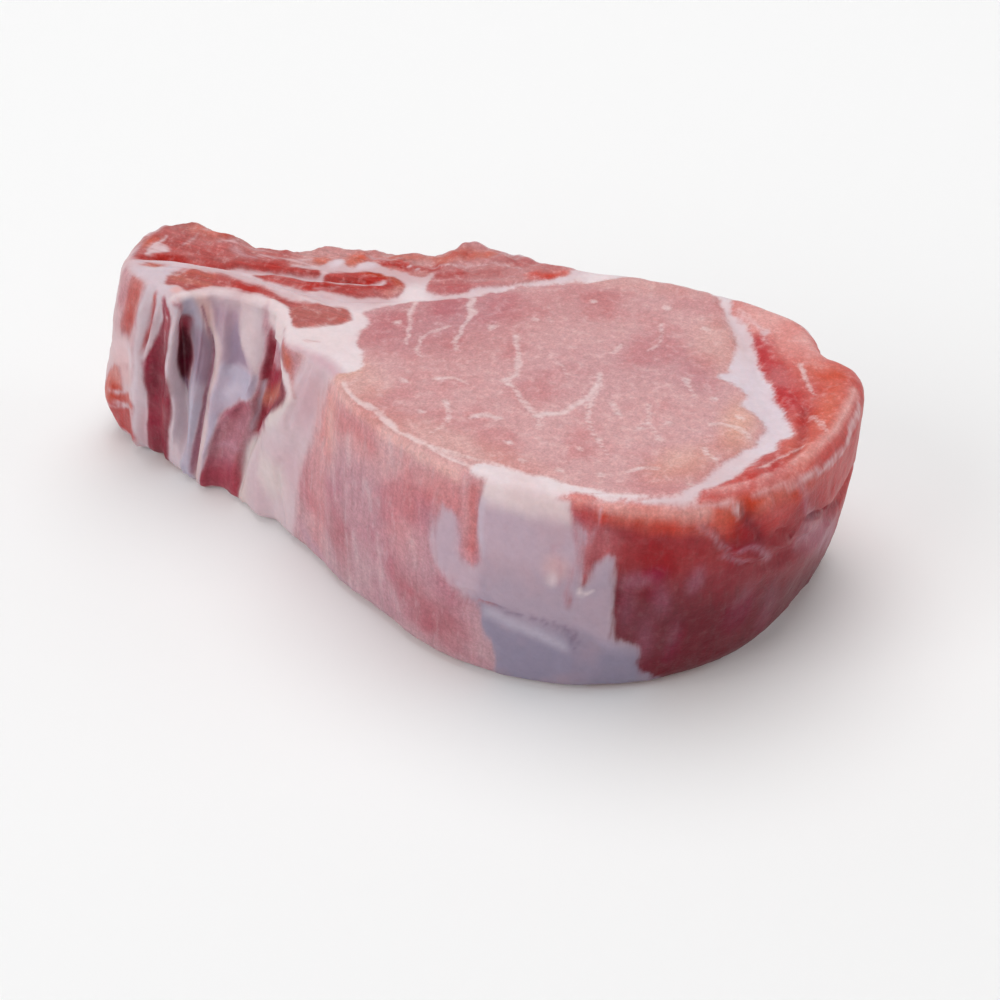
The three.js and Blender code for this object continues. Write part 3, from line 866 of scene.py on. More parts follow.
THREADS: tuple[Streak, ...] = (
    Streak((
        (-6.4, 17.6), (-4.8, 18.2), (-2.4, 13.4), (-0.7, 10.6), (-0.4, 5.6), (-0.3, 2), (1.2, -2.1),
    ), 0.85, 0.4),
    Streak(((-15, 12), (-13.8, 10.4), (-12.6, 6), (-11.8, 2.7), (-10.4, -1), (-9.2, -4)), 0.5, 0.3),
    Streak(((10.5, 6.9), (12.8, 3.6), (14, 0.7), (15.6, -3.4), (16.3, -6), (15.2, -8.4)), 0.55, 0.45),
    Streak(((16.6, -9.2), (18.5, -10.3), (22, -13.6), (25.8, -16.5), (28.1, -19.9)), 0.6, 0.3),
    Streak(((25.8, -16.5), (28.4, -14.8), (30.2, -12.7), (32.1, -7.1), (32.9, -3), (31.4, 1.4)), 0.75, 0.5),
    Streak(((33.2, -4), (33.8, -8.5), (35.6, -13), (39.1, -17.7), (43.3, -21.2)), 0.5, 0.25),
    Streak(((48, 7.3), (49.6, 5.4), (51.1, 3.1)), 0.8, 0.35),
    Streak(((31.7, 12.6), (31, 9.5)), 0.5, 0.3),
    Streak(((6.7, -18.6), (9.4, -22.4), (10.2, -25.5), (8.7, -29.7)), 0.45, 0.25),
    Streak(((13.5, -21.4), (16.4, -20.2), (19.2, -19.6)), 0.6, 0.4),
    Streak(((37.3, -6.6), (39, -7.6), (40.5, -9.2)), 0.5, 0.3),
    Streak(((59.7, -12), (61, -13.4), (62.4, -14.3)), 0.7, 0.4),
    Streak(((57.6, -4.2), (60.4, -3.6), (63.4, -3.6), (66, -4.4)), 0.45, 0.7),
    Streak(((-3.6, 4.4), (-6, 1), (-6.6, -3.6), (-4, -7.6)), 0.3, 0.2),
    Streak(((2, -13), (5.6, -11.4), (9, -11.8)), 0.35, 0.2),
    Streak(((20, 3), (24, 0.6), (26.4, -3)), 0.3, 0.2),
    Streak(((36, 24), (38, 18), (37.4, 13)), 0.3, 0.2),
    Streak(((44, -4), (46.6, -9), (50.4, -12.7)), 0.35, 0.3),
    Streak(((49, -25), (51.6, -22.6), (53.1, -22)), 0.5, 0.3),
    Streak(((67.4, 22.5), (69.9, 17.8), (72.2, 14.5), (73.8, 13.5)), 0.5, 0.3),
    Streak(((75.2, 6.8), (76.8, 5), (78.7, 3.3), (79.6, 1.4)), 0.4, 0.25),
    Streak(((51.6, 31.9), (51.5, 29.5)), 0.55, 0.4),
    Streak(((12, -33), (15.9, -33.5), (19, -33.2), (21.2, -33.2), (26, -33.2)), 0.3, 0.4),
    Streak(((33.2, -33.2), (41.1, -33.3), (48.7, -32.3), (55, -30.3), (60.1, -27.6)), 0.5, 0.4),
    Streak(((-8.6, -26.3), (-6, -27)), 0.9, 0.7),
    Streak(((-2, -29), (2.6, -31.3)), 0.9, 0.7),
    Streak(((71.5, -13.7), (73.6, -10), (75.1, -6.8), (77, -3.2)), 0.35, 0.25),
    # A white line along the front rim: partly a thread of fat, partly a painted highlight where the rim's
    # edge catches light.
    Streak((
        (-14.5, -21.4), (-11.6, -24.3), (-9.3, -25.8), (-7, -26.7), (-4.4, -27.5), (-1.2, -29.4),
        (1.3, -30.9), (3.9, -31.8), (6.9, -32.8), (10.2, -33.8), (13.9, -34.7), (18.2, -35.5), (22.6, -36.1),
    ), 0.6, 0.5),
)
DOTS: Points = (
    (39.5, -8.5), (45.6, -11.2), (50.4, -12.7), (60.9, -23.6), (53.1, -22), (50.3, -7.3), (39.7, -17.5),
    (37.4, -22.1), (36.4, -29.6), (24, -26), (4, -24), (-4, -16), (12, 14), (20, 26), (35, 30), (45, 26),
    (55, 4), (29, -30), (44, -28), (5, 8), (-14, 2), (62, 0.6),
)

WALL_PATCHES: tuple[Patch, ...] = (
    flush(Hue.SIDE_LOW, Outline(((56, 15), (75, 14), (95, 13), (120, 14), (120, -6), (56, -6))), 5),
    flush(Hue.SIDE_WARM, Outline((
        (56, 54), (57, 46), (62, 44.2), (72, 44.6), (82, 45), (95, 44.8), (112, 45), (114, 54),
    )), 2, 0.9),
    flush(Hue.SIDE_WARM, Spot(67, 37, 6, 9, 8), 4, 0.95),
    flush(Hue.SIDE_BLUSH, Spot(107, 40, 7, 4.4), 2.8, 0.6),
    flush(Hue.SIDE_BLUSH, Spot(80, 40.4, 7, 3), 3, 0.4),
    flush(Hue.SIDE_BLUSH, Streak(((95.7, 43), (97, 38), (98.4, 34)), 0.9), 2, 0.45),
    flush(Hue.SIDE_WARM, Outline(((56, 54), (58, 30), (68, 33), (82, 36), (98, 37), (112, 54))), 6, 0.35),
    flush(Hue.SIDE_WARM, Streak(((104, 45.2), (109, 44.8), (113.6, 44.4)), 1), 1.2, 0.5),
    *(
        flush(Hue.SEAM_PINK, Streak(line, 0.4, 0.25), 1, 0.5)
        for line in (
            ((90.6, 46), (91.9, 42.3), (93.5, 37.5)), ((78, 39), (78.6, 36), (79.2, 33.4)),
            ((73.9, 30.1), (74.4, 26), (75, 22.3)), ((84.8, 32.4), (86, 29.6), (86.8, 27)),
            ((69, 26), (69.6, 20)), ((89.6, 22), (90.8, 16), (91, 12)), ((99.6, 26), (100.6, 21)),
            ((81, 18), (82.4, 12)), ((94, 12), (95.6, 6)),
        )
    ),
    flush(Hue.SIDE_ROSE, Spot(66.5, 18, 4.5, 15), 3, 0.8),
    flush(Hue.SIDE_ROSE, Spot(96, 31, 5, 9), 4, 0.7),
    flush(Hue.SIDE_RED, Spot(76, 14, 3.4, 7, 8), 3, 0.7),
    flush(Hue.SIDE_RED, Spot(106, 9, 8, 6, -10), 5, 0.75),
    flush(Hue.SIDE_RED, Spot(98, 15, 5, 4), 3, 0.6),
    flush(Hue.FILM_PALE, Streak(((60, 6), (66, 3.4), (76, 1.4), (90, 1.2)), 1.6, 0.8), 1.8, 0.8),
    bare(Hue.CAP_SIDE, Outline((
        (136, 54), (136.3, 40), (134.6, 29), (138, 24), (141, 18), (143, 14.5), (147, 13.3), (149, 8.6),
        (153.4, 4), (156, -8), (226, -8), (230, 8), (227, 20), (232, 32), (229, 44), (231, 54),
    )), 1.8, ragged=1),
    flush(Hue.CAP_SIDE_RED, Spot(150, 36, 12, 5.4), 4),
    flush(Hue.CAP_SIDE_RED, Spot(163, 37, 5, 5), 3),
    # Painted shade along a crease of the cap wall.
    flush(Hue.CAP_SIDE_LOW, Streak(((163, 39.6), (166, 36.4), (170, 35)), 1), 2, 0.6),
    flush(Hue.CAP_SIDE_RED, Spot(176, 38, 6, 5), 3, 0.8),
    # The cap wall darker towards the bottom: deep red, partly painted shade.
    flush(Hue.CAP_SIDE_LOW, Outline((
        (136, 29), (146, 30), (156, 27), (166, 24), (178, 22), (190, 17), (204, 12), (214, 2), (216, -8),
        (136, -8),
    )), 7),
    # The cap wall's lip: orange-red, partly its own colour and partly a painted glow of light from above and
    # behind.
    flush(Hue.GLOW, Outline((
        (134, 54), (135, 44.6), (141, 43.6), (147.4, 43), (153, 42.8), (157, 42), (161, 41), (164, 42.4),
        (166.6, 44), (170, 41.8), (176, 41.4), (182, 42.4), (194, 42), (205, 42), (238, 40), (238, 54),
    )), 2.6, 0.9),
    # Brighter spots of the lip's orange-red and its painted glow.
    flush(Hue.GLOW_HOT, Spot(139, 44, 3.2, 1), 1.4, 0.8),
    flush(Hue.GLOW_HOT, Spot(151.5, 42.4, 4.4, 1.4), 1.8, 0.85),
    flush(Hue.CAP_SIDE_PINK, Spot(138.4, 38.6, 3.2, 4.2), 2, 0.55),
    flush(Hue.GLOW_HOT, Spot(161.6, 41, 3.4, 2, -30), 1.8, 0.55),
    flush(Hue.CAP_SIDE_WARM, Spot(173, 40.6, 4.4, 3.4, 10), 2, 0.8),
    # A peach line along the cap wall's lip, partly a painted highlight.
    flush(Hue.SIDE_WARM, Streak(((134, 46.8), (142, 46.4), (151, 45.8), (158, 45.4)), 1.2), 1.6, 0.8),
    flush(Hue.CAP_SIDE_WARM, Outline((
        (184, 54), (185, 36), (196, 28), (204, 20), (212, 12), (222, 6), (240, 4), (240, 54),
    )), 7, 0.85),
    flush(Hue.FILM, Spot(146.6, 30.5, 3.6, 1.9, 20), 1.6, 0.5),
    flush(Hue.FILM, Spot(150.7, 25.5, 1.4, 4, 8), 1.6, 0.5),
    flush(Hue.FILM, Spot(157, 29, 1.4, 3, -12), 1.6, 0.6),
    flush(Hue.FILM, Spot(148.6, 15, 1.8, 6.2, 4), 1.8, 0.4),
    flush(Hue.FILM, Spot(154, 13.5, 1.4, 5), 1.6, 0.35),
    flush(Hue.FILM, Spot(144.6, 22.6, 1.2, 5), 1.6, 0.4),
    flush(Hue.FILM, Spot(168, 18, 3, 6, -10), 2, 0.25),
    flush(Hue.FILM, Spot(176, 12, 2.4, 8, 6), 2, 0.25),
    flush(Hue.FILM_PALE, Outline((
        (181.2, 34.4), (184.7, 32.4), (190.6, 28.6), (196.3, 24), (199.6, 22.3), (206.1, 14.3),
        (204.1, 11.7), (196.9, 14.4), (189, 20), (184.7, 24), (181, 29),
    )), 3, 0.4),
    flush(Hue.FILM_PALE, Streak(((178.5, 44.7), (179.8, 42.1), (180.6, 38.1), (184.3, 33.5)), 0.5), 1, 0.5),
    flush(Hue.FILM_PALE, Streak((
        (165.1, 34.7), (167.6, 34.9), (170.5, 32.5), (173.9, 27.9),
    ), 0.4), 0.9, 0.6),
    flush(Hue.FILM_PALE, Streak(((162.4, 34.4), (165, 32.6), (167.1, 31.2)), 0.35), 0.8, 0.6),
    flush(Hue.FILM_PALE, Streak(((156.2, 43.4), (159, 40.8), (161.4, 37.4), (163.7, 35.5)), 0.3), 0.8, 0.55),
    # Painted shade: dark lines along two creases of the cap wall.
    flush(Hue.BAND_DEEP, Streak(((183, 34.6), (188.9, 31.4), (194, 28), (201.3, 24.1)), 0.8, 0.4), 0.9, 0.8),
    flush(Hue.CAP_SIDE_LOW, Streak(((164.8, 44.5), (166.7, 42.1), (168.8, 39), (169.7, 36)), 0.5), 0.9, 0.5),
    # Pale pink lines along the cap wall's lip: partly fat, partly a painted highlight.
    cover(Hue.RIM_PINK, Streak((
        (149, 46.9), (154, 46.5), (159, 46.5), (163.4, 45.7), (165, 43.9),
    ), 0.55, 0.4), 0.9),
    cover(Hue.RIM_PINK, Streak((
        (167.9, 46.5), (171.2, 46.3), (174.5, 46.1), (178.9, 45.4), (183, 44.8), (188.4, 43.8),
        (193.4, 43.3), (197.1, 44), (200.6, 45.1), (206, 45.6),
    ), 0.5, 0.9), 1, 0.8),
    cover(Hue.SKIN_HIGH, Outline((
        (104.8, 36), (107.2, 37.6), (109, 36.4), (109.2, 31), (110, 28), (112.6, 26.6), (117, 27),
        (117, 18.6), (114.1, 18.2), (110.7, 19.4), (107.6, 22.2), (105.4, 25.6), (104.6, 30),
    )), 2, 0.95, rise=0.2, ragged=1.2),
    cover(Hue.SKIN, Outline((
        (114.3, 54), (114.3, 44.1), (114.3, 37.7), (114.1, 33), (114.8, 28.6), (114.4, 24), (114.6, 19),
        (115.9, 14.4), (117.6, 9.7), (118.4, 6.1), (118.1, 2.7), (118.4, -8), (157, -8), (151.6, 2.4),
        (148.2, 7), (148.2, 9.5), (147.2, 12), (144.9, 13.6), (142.8, 14.9), (142.1, 18.9), (141.8, 22.7),
        (142, 27.8), (142.1, 32.9), (141.5, 36.3), (139.7, 34.6), (138.1, 33.5), (137.4, 31), (136.4, 28),
        (135.5, 27.6), (135.2, 30.8), (134.9, 34.1), (135.1, 37.5), (135, 41), (133.2, 42.8), (131.9, 46),
        (131.6, 54),
    )), 1.2, 0.95, rise=0.25, ragged=0.9),
    # Painted light on the skin's upper part, and painted shade on its lower part.
    tinge(Hue.SKIN_HIGH, Outline(((108, 54), (108, 31), (118, 31), (126, 30), (140, 34), (140, 54))), 4),
    tinge(Hue.SKIN_LOW, Outline((
        (112, 17), (122, 16), (132, 15), (146, 12), (160, 6), (160, -8), (112, -8),
    )), 4),
    tinge(Hue.RIM, Outline(((110, 54), (112.6, 43.6), (120, 42), (128, 42.4), (135, 43.6), (137, 54))), 2.2),
    tinge(Hue.RIM_PINK, Spot(130.4, 31.4, 2.4, 2.6), 1.8, 0.5),
    tinge(Hue.SKIN_HIGH, Spot(108, 26, 6, 9), 3, 0.6),
    bare(Hue.SIDE_ROSE, Outline((
        (109, 52), (109.6, 45.4), (110.4, 38), (111.2, 30.4), (112.6, 27.6), (114, 28.6), (113.8, 36),
        (113.8, 42), (113.6, 52),
    )), 0.8, 0.9),
    flush(Hue.CAP, Streak(((112.4, 44), (113, 37), (113.2, 31)), 0.8), 1, 0.5),
    flush(Hue.CAP_SIDE_PINK, Streak((
        (136, 46), (135.8, 40), (135.8, 34), (135.8, 29.4),
    ), 1.4, 0.8), 1.4, 0.6),
    bare(Hue.CAP_SIDE_PINK, Streak((
        (131.9, 46), (133, 42.8), (133.9, 38.4), (134, 34), (133.4, 30.4), (132.8, 26),
    ), 0.6, 0.3), 1.2, 0.55),
    bare(Hue.SIDE_ROSE, Streak(((130, 36), (130.8, 33), (131.6, 28)), 0.8, 0.4), 1.6, 0.35),
    bare(Hue.STRAND_SOFT, Spot(133.7, 24.4, 0.9, 1.6), 1.2, 0.5),
    cover(Hue.SKIN_HIGH, Streak(((137.6, 46), (137.2, 42), (136.4, 38)), 0.35), 0.9, 0.5),
    # Painted highlights: a light band under the skin's crease, and a line down the skin's left edge.
    tinge(Hue.SKIN_SHINE, Streak((
        (117.3, 16.8), (121.1, 16.2), (125.2, 15), (129.3, 14), (133, 12),
    ), 0.8), 1.6, 0.55),
    tinge(Hue.SKIN_SHINE, Streak(((114.9, 42), (114.8, 36), (114.9, 30)), 0.5), 0.9, 0.6),
    bare(Hue.CLEFT_RED, Streak(((115.2, 18.5), (117, 18.5), (119, 18.3)), 0.4, 0.25), 0.6, 0.8),
    # Painted shadow: the dark line and short dashes of the crease, under the skin that folds over it.
    *(
        tinge(Hue.CREASE, Streak(line, 0.3, 0.15), 0.6, 0.65)
        for line in (
            ((118.6, 18.5), (121.8, 18), (124.4, 17.6)), ((126.6, 17.8), (127.6, 17.2)),
            ((128.8, 17.6), (129.8, 16.8)), ((131, 17), (131.6, 16)),
            ((132.8, 16.4), (134.3, 14.1), (135.3, 11.8)), ((134.6, 15.8), (136, 13)),
        )
    ),
    # A short white squiggle on the skin, painted as a glint.
    cover(Hue.FAT_THREAD, Streak((
        (135.1, 27.3), (135.8, 26.4), (136.8, 26.3), (137.6, 27.2),
    ), 0.22, 0.18), 0.6, 0.85),
    tinge(Hue.RIM, Spot(130, 28.7, 0.9, 1.2), 0.9, 0.6),
    cover(Hue.BULGE, Outline((
        (43, 54), (44, 47), (47, 44), (51, 42), (54, 40), (57, 44), (60, 54), (70, 54), (67, 41), (65.4, 33),
        (63, 26.3), (61.6, 19.7), (59.6, 12), (59, 4), (58.6, -8), (37, -8), (37.6, 3), (36.8, 8),
        (37, 12.5), (38.2, 15), (40.2, 17.2), (48.9, 24), (52, 30.4), (54.6, 35.5), (54.2, 38.4), (50, 40.4),
        (45.4, 41.6),
    )), 1.7, rise=0.3, lip=2),
    bare(Hue.SIDE_ROSE, Streak((
        (67, 44), (65, 33), (62.6, 24), (60, 13), (59, 0),
    ), 1.2), 3, 0.55, ragged=0.9),
    tinge(Hue.BULGE_PINK, Spot(61, 38, 4.6, 8, -10), 4, 0.9),
    tinge(Hue.BULGE_PINK, Spot(55.6, 18, 4.4, 8, -30), 3, 0.7),
    tinge(Hue.BULGE_PINK, Spot(46, 8, 3, 6), 3, 0.5),
    tinge(Hue.BULGE_CREAM, Streak((
        (55, 36), (52, 30), (47, 23), (41, 17.4), (38.6, 10), (39, 0),
    ), 1.2, 1.8), 1.8, 0.8),
    tinge(Hue.BULGE_CREAM, Spot(51, 14, 4.4, 5), 3, 0.6),
    cover(Hue.RIM, Outline((
        (36.6, 54), (37.4, 45), (39.4, 42.4), (42, 41), (46, 41.6), (49, 45.4), (49.6, 54),
    )), 1.4),
    bare(Hue.SIDE_RED, Streak(((47.2, 45.6), (48.4, 47.2)), 0.5), 0.9, 0.6),
    bare(Hue.CLEFT_RED, Outline((
        (39.4, 41.6), (39.8, 38.4), (39.9, 36.2), (39.7, 34.4), (40, 32.7), (40.3, 30.9), (41.3, 29.6),
        (41.2, 27.6), (40.4, 24.9), (39.2, 21), (38.6, 17.6), (40, 17.4), (44.6, 21.6), (49.6, 26.5),
        (52.4, 31.6), (53.8, 34.8), (54.2, 37.3), (52, 38.8), (48, 38), (46, 36.6), (44.4, 37.4),
        (42.4, 37.8), (41, 39.6), (40.4, 41.6),
    ))),
    flush(Hue.RUST, Streak(((41.6, 26.6), (44.6, 28.8), (48.6, 32), (51.4, 35.2)), 1.6), 1.6, 0.9),
    flush(Hue.BAND_DEEP, Streak(((49.4, 27.6), (52.4, 32), (54, 36.2), (52.8, 38.4)), 0.7), 0.9, 0.9),
    flush(Hue.BAND_DEEP, Streak(((39.9, 40.6), (40.3, 36), (40.6, 32.6)), 0.5), 0.9, 0.5),
    cover(Hue.SEAM_PINK, Streak(((42, 34), (43.6, 31.4), (46.6, 29.6)), 0.4), 1, 0.4),
    cover(Hue.RIM, Streak((
        (45.4, 44.6), (46.4, 42.8), (49, 41.8), (51.3, 41.5), (52.6, 40.5), (53.9, 39.7), (55.1, 38.7),
        (56.6, 37),
    ), 1.3, 0.7)),
    bare(Hue.RUST, Outline((
        (50.5, 45.8), (52.4, 45.6), (54, 44.8), (54.6, 43.6), (54.2, 42.2), (53.4, 41.2), (52.4, 42.2),
        (51.6, 43.8),
    )), 1, 0.85),
    bare(Hue.RUST, Streak(((54.4, 41.6), (55.6, 39.6), (57, 37.4)), 0.6, 0.4), 1, 0.6),
    bare(Hue.PLUM, Outline((
        (27.2, 3), (28.9, 9), (30, 14), (30.8, 19.3), (32.1, 21.1), (34.1, 22.5), (36.1, 24.7), (38.1, 26),
        (39.5, 27.2), (39.9, 30), (40.8, 29.8), (40.9, 28), (40, 25.6), (39.2, 23.6), (38, 20.4),
        (37.6, 18.1), (37, 15.3), (36.7, 12.6), (36.6, 8.9), (37.4, 4), (38, -8), (27, -8),
    ))),
    flush(Hue.PLUM_DEEP, Outline(((26, 6), (33, 8), (40, 8), (40, -8), (26, -8))), 3, 0.9),
    flush(Hue.PLUM_DEEP, Streak(((37.4, 24), (34.6, 20.4), (32, 15), (30.6, 9)), 0.8), 1.2, 0.45),
    flush(Hue.BAND_LIGHT, Streak(((36.4, 13), (36, 8), (36.6, 2)), 0.7), 1, 0.7),
    flush(Hue.FILM_PALE, Streak(((31.4, 12.4), (34, 13), (36, 12.6)), 0.5), 1, 0.5),
    cover(Hue.LOBE, Streak((
        (40.9, 30.6), (41.1, 28.4), (40.5, 26.3), (39.7, 23.6), (38.8, 20.8), (38.4, 18),
    ), 0.5, 0.35), 0.7, 0.8),
    cover(Hue.MEMBRANE, Outline((
        (23.8, 54), (24.4, 45.4), (25.8, 41), (27.6, 37.7), (29.2, 35), (29.6, 32.4), (32, 31.6),
        (35.6, 32.4), (38, 32.8), (36.8, 35), (34.4, 36.6), (33, 39), (32, 42), (31.6, 46), (31.4, 54),
    )), 1),
    # Painted shade in the membrane's hollow.
    tinge(Hue.HOLLOW, Spot(32.4, 35.6, 2.2, 4.4, 20), 2.4, 0.9),
    tinge(Hue.SEAM_PINK, Outline(((24, 54), (25.4, 45), (28, 44), (31.6, 44.4), (32, 54))), 1.6, 0.7),
    tinge(Hue.SEAM_PINK, Streak(((28.6, 40), (29.6, 36.4), (30.4, 33.4)), 0.7), 1.4, 0.35),
    cover(Hue.LOBE, Outline((
        (29.4, 31), (30.4, 32.4), (32, 31.8), (35.7, 32.3), (38, 32.4), (39.3, 31.6), (39.6, 30),
        (39.6, 28.6), (39, 27.2), (38.1, 26.5), (36.5, 25.6), (35.7, 24.3), (34.2, 22.7), (33, 22),
        (31.5, 20.8), (30.7, 19.4), (30.5, 17.6), (29.9, 14.6), (29.2, 11), (28.4, 7), (27.4, 2), (26.8, -8),
        (26.6, 2), (27.6, 8), (28, 14), (28.2, 20), (28.7, 25.6),
    )), rise=0.3, lip=0.8),
    tinge(Hue.STRIP, Streak(((31.6, 30.6), (34.6, 30.4), (37.8, 30.4)), 0.9), 1.2, 0.7),
    # Painted highlight on the lobe.
    tinge(Hue.SKIN_SHINE, Spot(33.6, 26.4, 3, 1.4, 30), 1.6, 0.6),
    cover(Hue.BAND, Outline((
        (31.2, 54), (31.7, 43.7), (32.2, 40.8), (33.2, 38), (34.6, 36.3), (36.3, 34.8), (37.4, 33.4),
        (38.8, 32.2), (39.2, 33.6), (39.5, 35.4), (38.9, 38.4), (37.9, 41.3), (37.1, 44.8), (36.8, 54),
    )), 1, rise=0.2),
    tinge(Hue.RIDGE, Streak(((36.6, 43), (37.6, 38.6), (38.6, 34.6)), 0.7), 1, 0.5),
    tinge(Hue.BULGE_PINK, Streak((
        (37.6, 46), (37.8, 43), (38.8, 40.4), (39.5, 37.8), (39.7, 35),
    ), 0.5), 0.8, 0.9),
    cover(Hue.STRIP, Outline((
        (20.1, 54), (22.7, 46), (23.8, 41.9), (25.4, 37.9), (26.3, 35.1), (26.8, 32.2), (26.9, 30),
        (26.6, 27.9), (26.2, 25.1), (25.8, 21.7), (25.6, 18.2), (25.2, 15), (24.9, 11.2), (24.7, -8),
        (19, -8), (19.8, 3.8), (20.4, 9.7), (20.3, 15), (20.3, 18.5), (20.9, 20.6), (21.6, 23.4),
        (22.6, 28.6), (22.4, 32.5), (21.8, 35.7), (21, 39.6), (20, 43),
    ))),
    # Painted shade in the hollow between the cleft and the ridge.
    tinge(Hue.HOLLOW, Outline((
        (22.6, 38), (25, 37.4), (26.8, 32), (26.8, 28), (25.8, 25.6), (24, 27), (22.8, 30), (22.6, 34),
    )), 1.6, 0.95),
    # Painted highlight down the rolled strip.
    tinge(Hue.SKIN_SHINE, Streak(((22.8, 24), (22.8, 18), (21.6, 10), (21, 2)), 0.9), 1.4, 0.3),
    cover(Hue.RIDGE_WARM, Streak((
        (23.2, 47), (24.2, 43.4), (25.9, 39.2), (27.4, 36.2), (28.3, 33), (28.4, 29.8), (28, 26.8),
        (27.2, 23), (27.2, 20), (27.4, 14), (27, 8), (26.2, 2), (25.8, -6),
    ), 1.1, 1)),
    tinge(Hue.EYE_PEACH, Spot(24.4, 42.6, 1.2, 3.6, 16), 1.4, 0.7),
    bare(Hue.GROOVE, Streak((
        (23.4, 44), (24.6, 40.2), (25.8, 37.2), (26.8, 34), (27, 30.6), (26.5, 27), (26, 23.6), (25.7, 20),
        (25.4, 15), (25, 10), (24.7, 3),
    ), 0.32, 0.4), 0.5, 0.75),
    bare(Hue.BAND_DARK, Outline((
        (15.2, 54), (15.2, 46.1), (14.7, 43.4), (14.1, 40.8), (14.1, 38.1), (13.8, 35.4), (13, 32.5),
        (12.3, 30.4), (11.9, 28.2), (11.5, 25.9), (11.6, 23.8), (12, 21.1), (12.5, 18.2), (12.6, 14.2),
        (12.1, 9.3), (11.8, 2.1), (11.6, -8), (18.9, -8), (18.8, 3.3), (19, 7.2), (19.4, 12), (19.5, 15.5),
        (19.6, 18.3), (19.6, 20.4), (19.3, 22.3), (18.8, 24.2), (18.4, 26.3), (18.2, 29.1), (18.1, 31.3),
        (18.1, 34), (18, 37.3), (18.1, 39.9), (18.3, 41.9), (18.4, 43), (18, 44.8), (17.2, 46), (16.8, 54),
    )), 0.7),
    flush(Hue.BAND_LIGHT, Spot(16.6, 41, 1.2, 4), 1.2, 0.8),
    flush(Hue.BAND_DEEP, Spot(13.9, 24.5, 1.6, 6, -4), 1.6, 0.9),
    flush(Hue.BAND_LIGHT, Streak(((16.8, 18.8), (16.9, 14), (17, 8)), 0.6), 1, 0.6),
    flush(Hue.BAND_DEEP, Streak(((18.6, 14), (18.4, 4)), 0.6), 1, 0.6),
    cover(Hue.SEAM_PINK, Streak(((15.6, 43.4), (16.4, 42), (17.2, 41.2)), 0.35), 0.7, 0.55),
    cover(Hue.SEAM_PINK, Streak(((16.2, 37.4), (16, 34), (16.2, 31)), 0.25), 0.7, 0.35),
    bare(Hue.CLEFT_RED, Streak(((21.3, 40.6), (21, 37), (20.6, 34)), 0.8, 0.9), 0.9, 0.8),
    # Painted shade: near-black red deep in the cleft.
    bare(Hue.CLEFT, Outline((
        (21, 37.6), (20.4, 34.6), (19.7, 33), (19.4, 30.6), (19.6, 28.2), (19.5, 26), (20, 23.4),
        (20.6, 19.8), (21, 21.4), (21.4, 24), (22.1, 27.4), (22.5, 30.2), (22.3, 32.5), (21.8, 35.4),
    )), 0.7),
    # Painted shade low in the cleft.
    flush(Hue.HOLLOW, Streak(((21.4, 24), (20.9, 21.6), (20.7, 19)), 0.7, 0.5), 0.8, 0.6),
    cover(Hue.RIDGE, Streak((
        (15.8, 47.4), (16.8, 46.2), (18.1, 44.8), (18.9, 42.9), (19, 41.1), (18.8, 38.6), (18.8, 35.7),
        (18.8, 33.7), (18.7, 31.7), (18.7, 29.5), (19.2, 26.9), (19.5, 24.3), (20, 22), (20.5, 19.6),
    ), 0.85, 0.9), 0.7),
    cover(Hue.RIDGE, Streak(((20.2, 20.6), (20.6, 16), (20.8, 10), (20.4, 2), (20.2, -6)), 1.1, 1.5)),
    bare(Hue.TAIL_RED, Streak((
        (12, 45), (11.8, 41), (11.9, 38), (11.4, 34.4), (10.9, 31), (10.8, 29.4),
    ), 0.6, 0.2), 0.6),
    flush(Hue.PLUM_DEEP, Streak(((12, 44), (11.8, 38), (11.2, 32)), 0.5), 0.8, 0.5),
    cover(Hue.RIDGE, Streak((
        (13.6, 47), (13.4, 43.4), (13.4, 40.8), (13.2, 38.2), (13, 35.5), (12.4, 32.6), (11.8, 30.5),
        (11, 28.4),
    ), 0.8, 0.5), 0.7),
    cover(Hue.TAIL, Outline((
        (-16, 54), (9.5, 54), (9.2, 40), (9.2, 28), (9.2, 17), (9.6, 6), (10, -8), (-16, -8),
    )), 1.6),
    cover(Hue.RIDGE, Outline((
        (8.9, 54), (8.9, 45.1), (8.8, 43), (9, 38), (9.2, 33.1), (9.4, 27.9), (9.4, 22.4), (9.1, 17.7),
        (9.6, 13.7), (9.6, 8.1), (9.9, 4), (9.9, -8), (11.6, -8), (11.6, 2), (12, 8), (12.5, 14.2),
        (12.2, 18.5), (11.8, 21.3), (11.2, 25.3), (10.9, 28.1), (10.8, 32.6), (11, 36), (11.2, 39.1),
        (11.3, 42), (11.5, 45), (11.6, 54),
    )), 0.7, rise=0.2),
    tinge(Hue.BULGE_PINK, Streak(((12, 14), (11.6, 9), (11.3, 3)), 0.6), 0.9, 0.8),
    bare(Hue.TAIL_RED, Outline((
        (3.6, 48), (8, 47.4), (8.6, 43.6), (8.8, 40.4), (8.6, 37.4), (7.4, 34.4), (4.4, 32.4), (3, 36),
        (3.2, 42),
    )), 1.2, 0.9),
    bare(Hue.LUMP, Spot(5.2, 33.8, 2.6, 3.2), 1.6, 0.75),
    bare(Hue.EYE_MAUVE, Spot(1.4, 41, 2.2, 8), 1.8, 0.8),
    tinge(Hue.SEAM, Spot(5, 26, 4, 4), 2.4, 0.7),
    bare(Hue.LUMP_ORANGE, Outline((
        (0.2, 21), (2.8, 21.4), (4, 18), (3.4, 13), (1.6, 9.6), (-1.6, 9), (-2.6, 14),
    )), 1.2, 0.8, ragged=0.9),
    bare(Hue.TAIL_RED, Outline((
        (1.6, 15.4), (5, 16), (9, 15.4), (9.2, 12.4), (6, 12), (2, 11.4),
    )), 0.9, 0.9, ragged=0.7),
    bare(Hue.STRAND, Outline((
        (1, 9.6), (5, 11), (8.6, 11.6), (9.6, 8.6), (9.4, 4.6), (6, 2.6), (1, 2), (-1.6, 5.6),
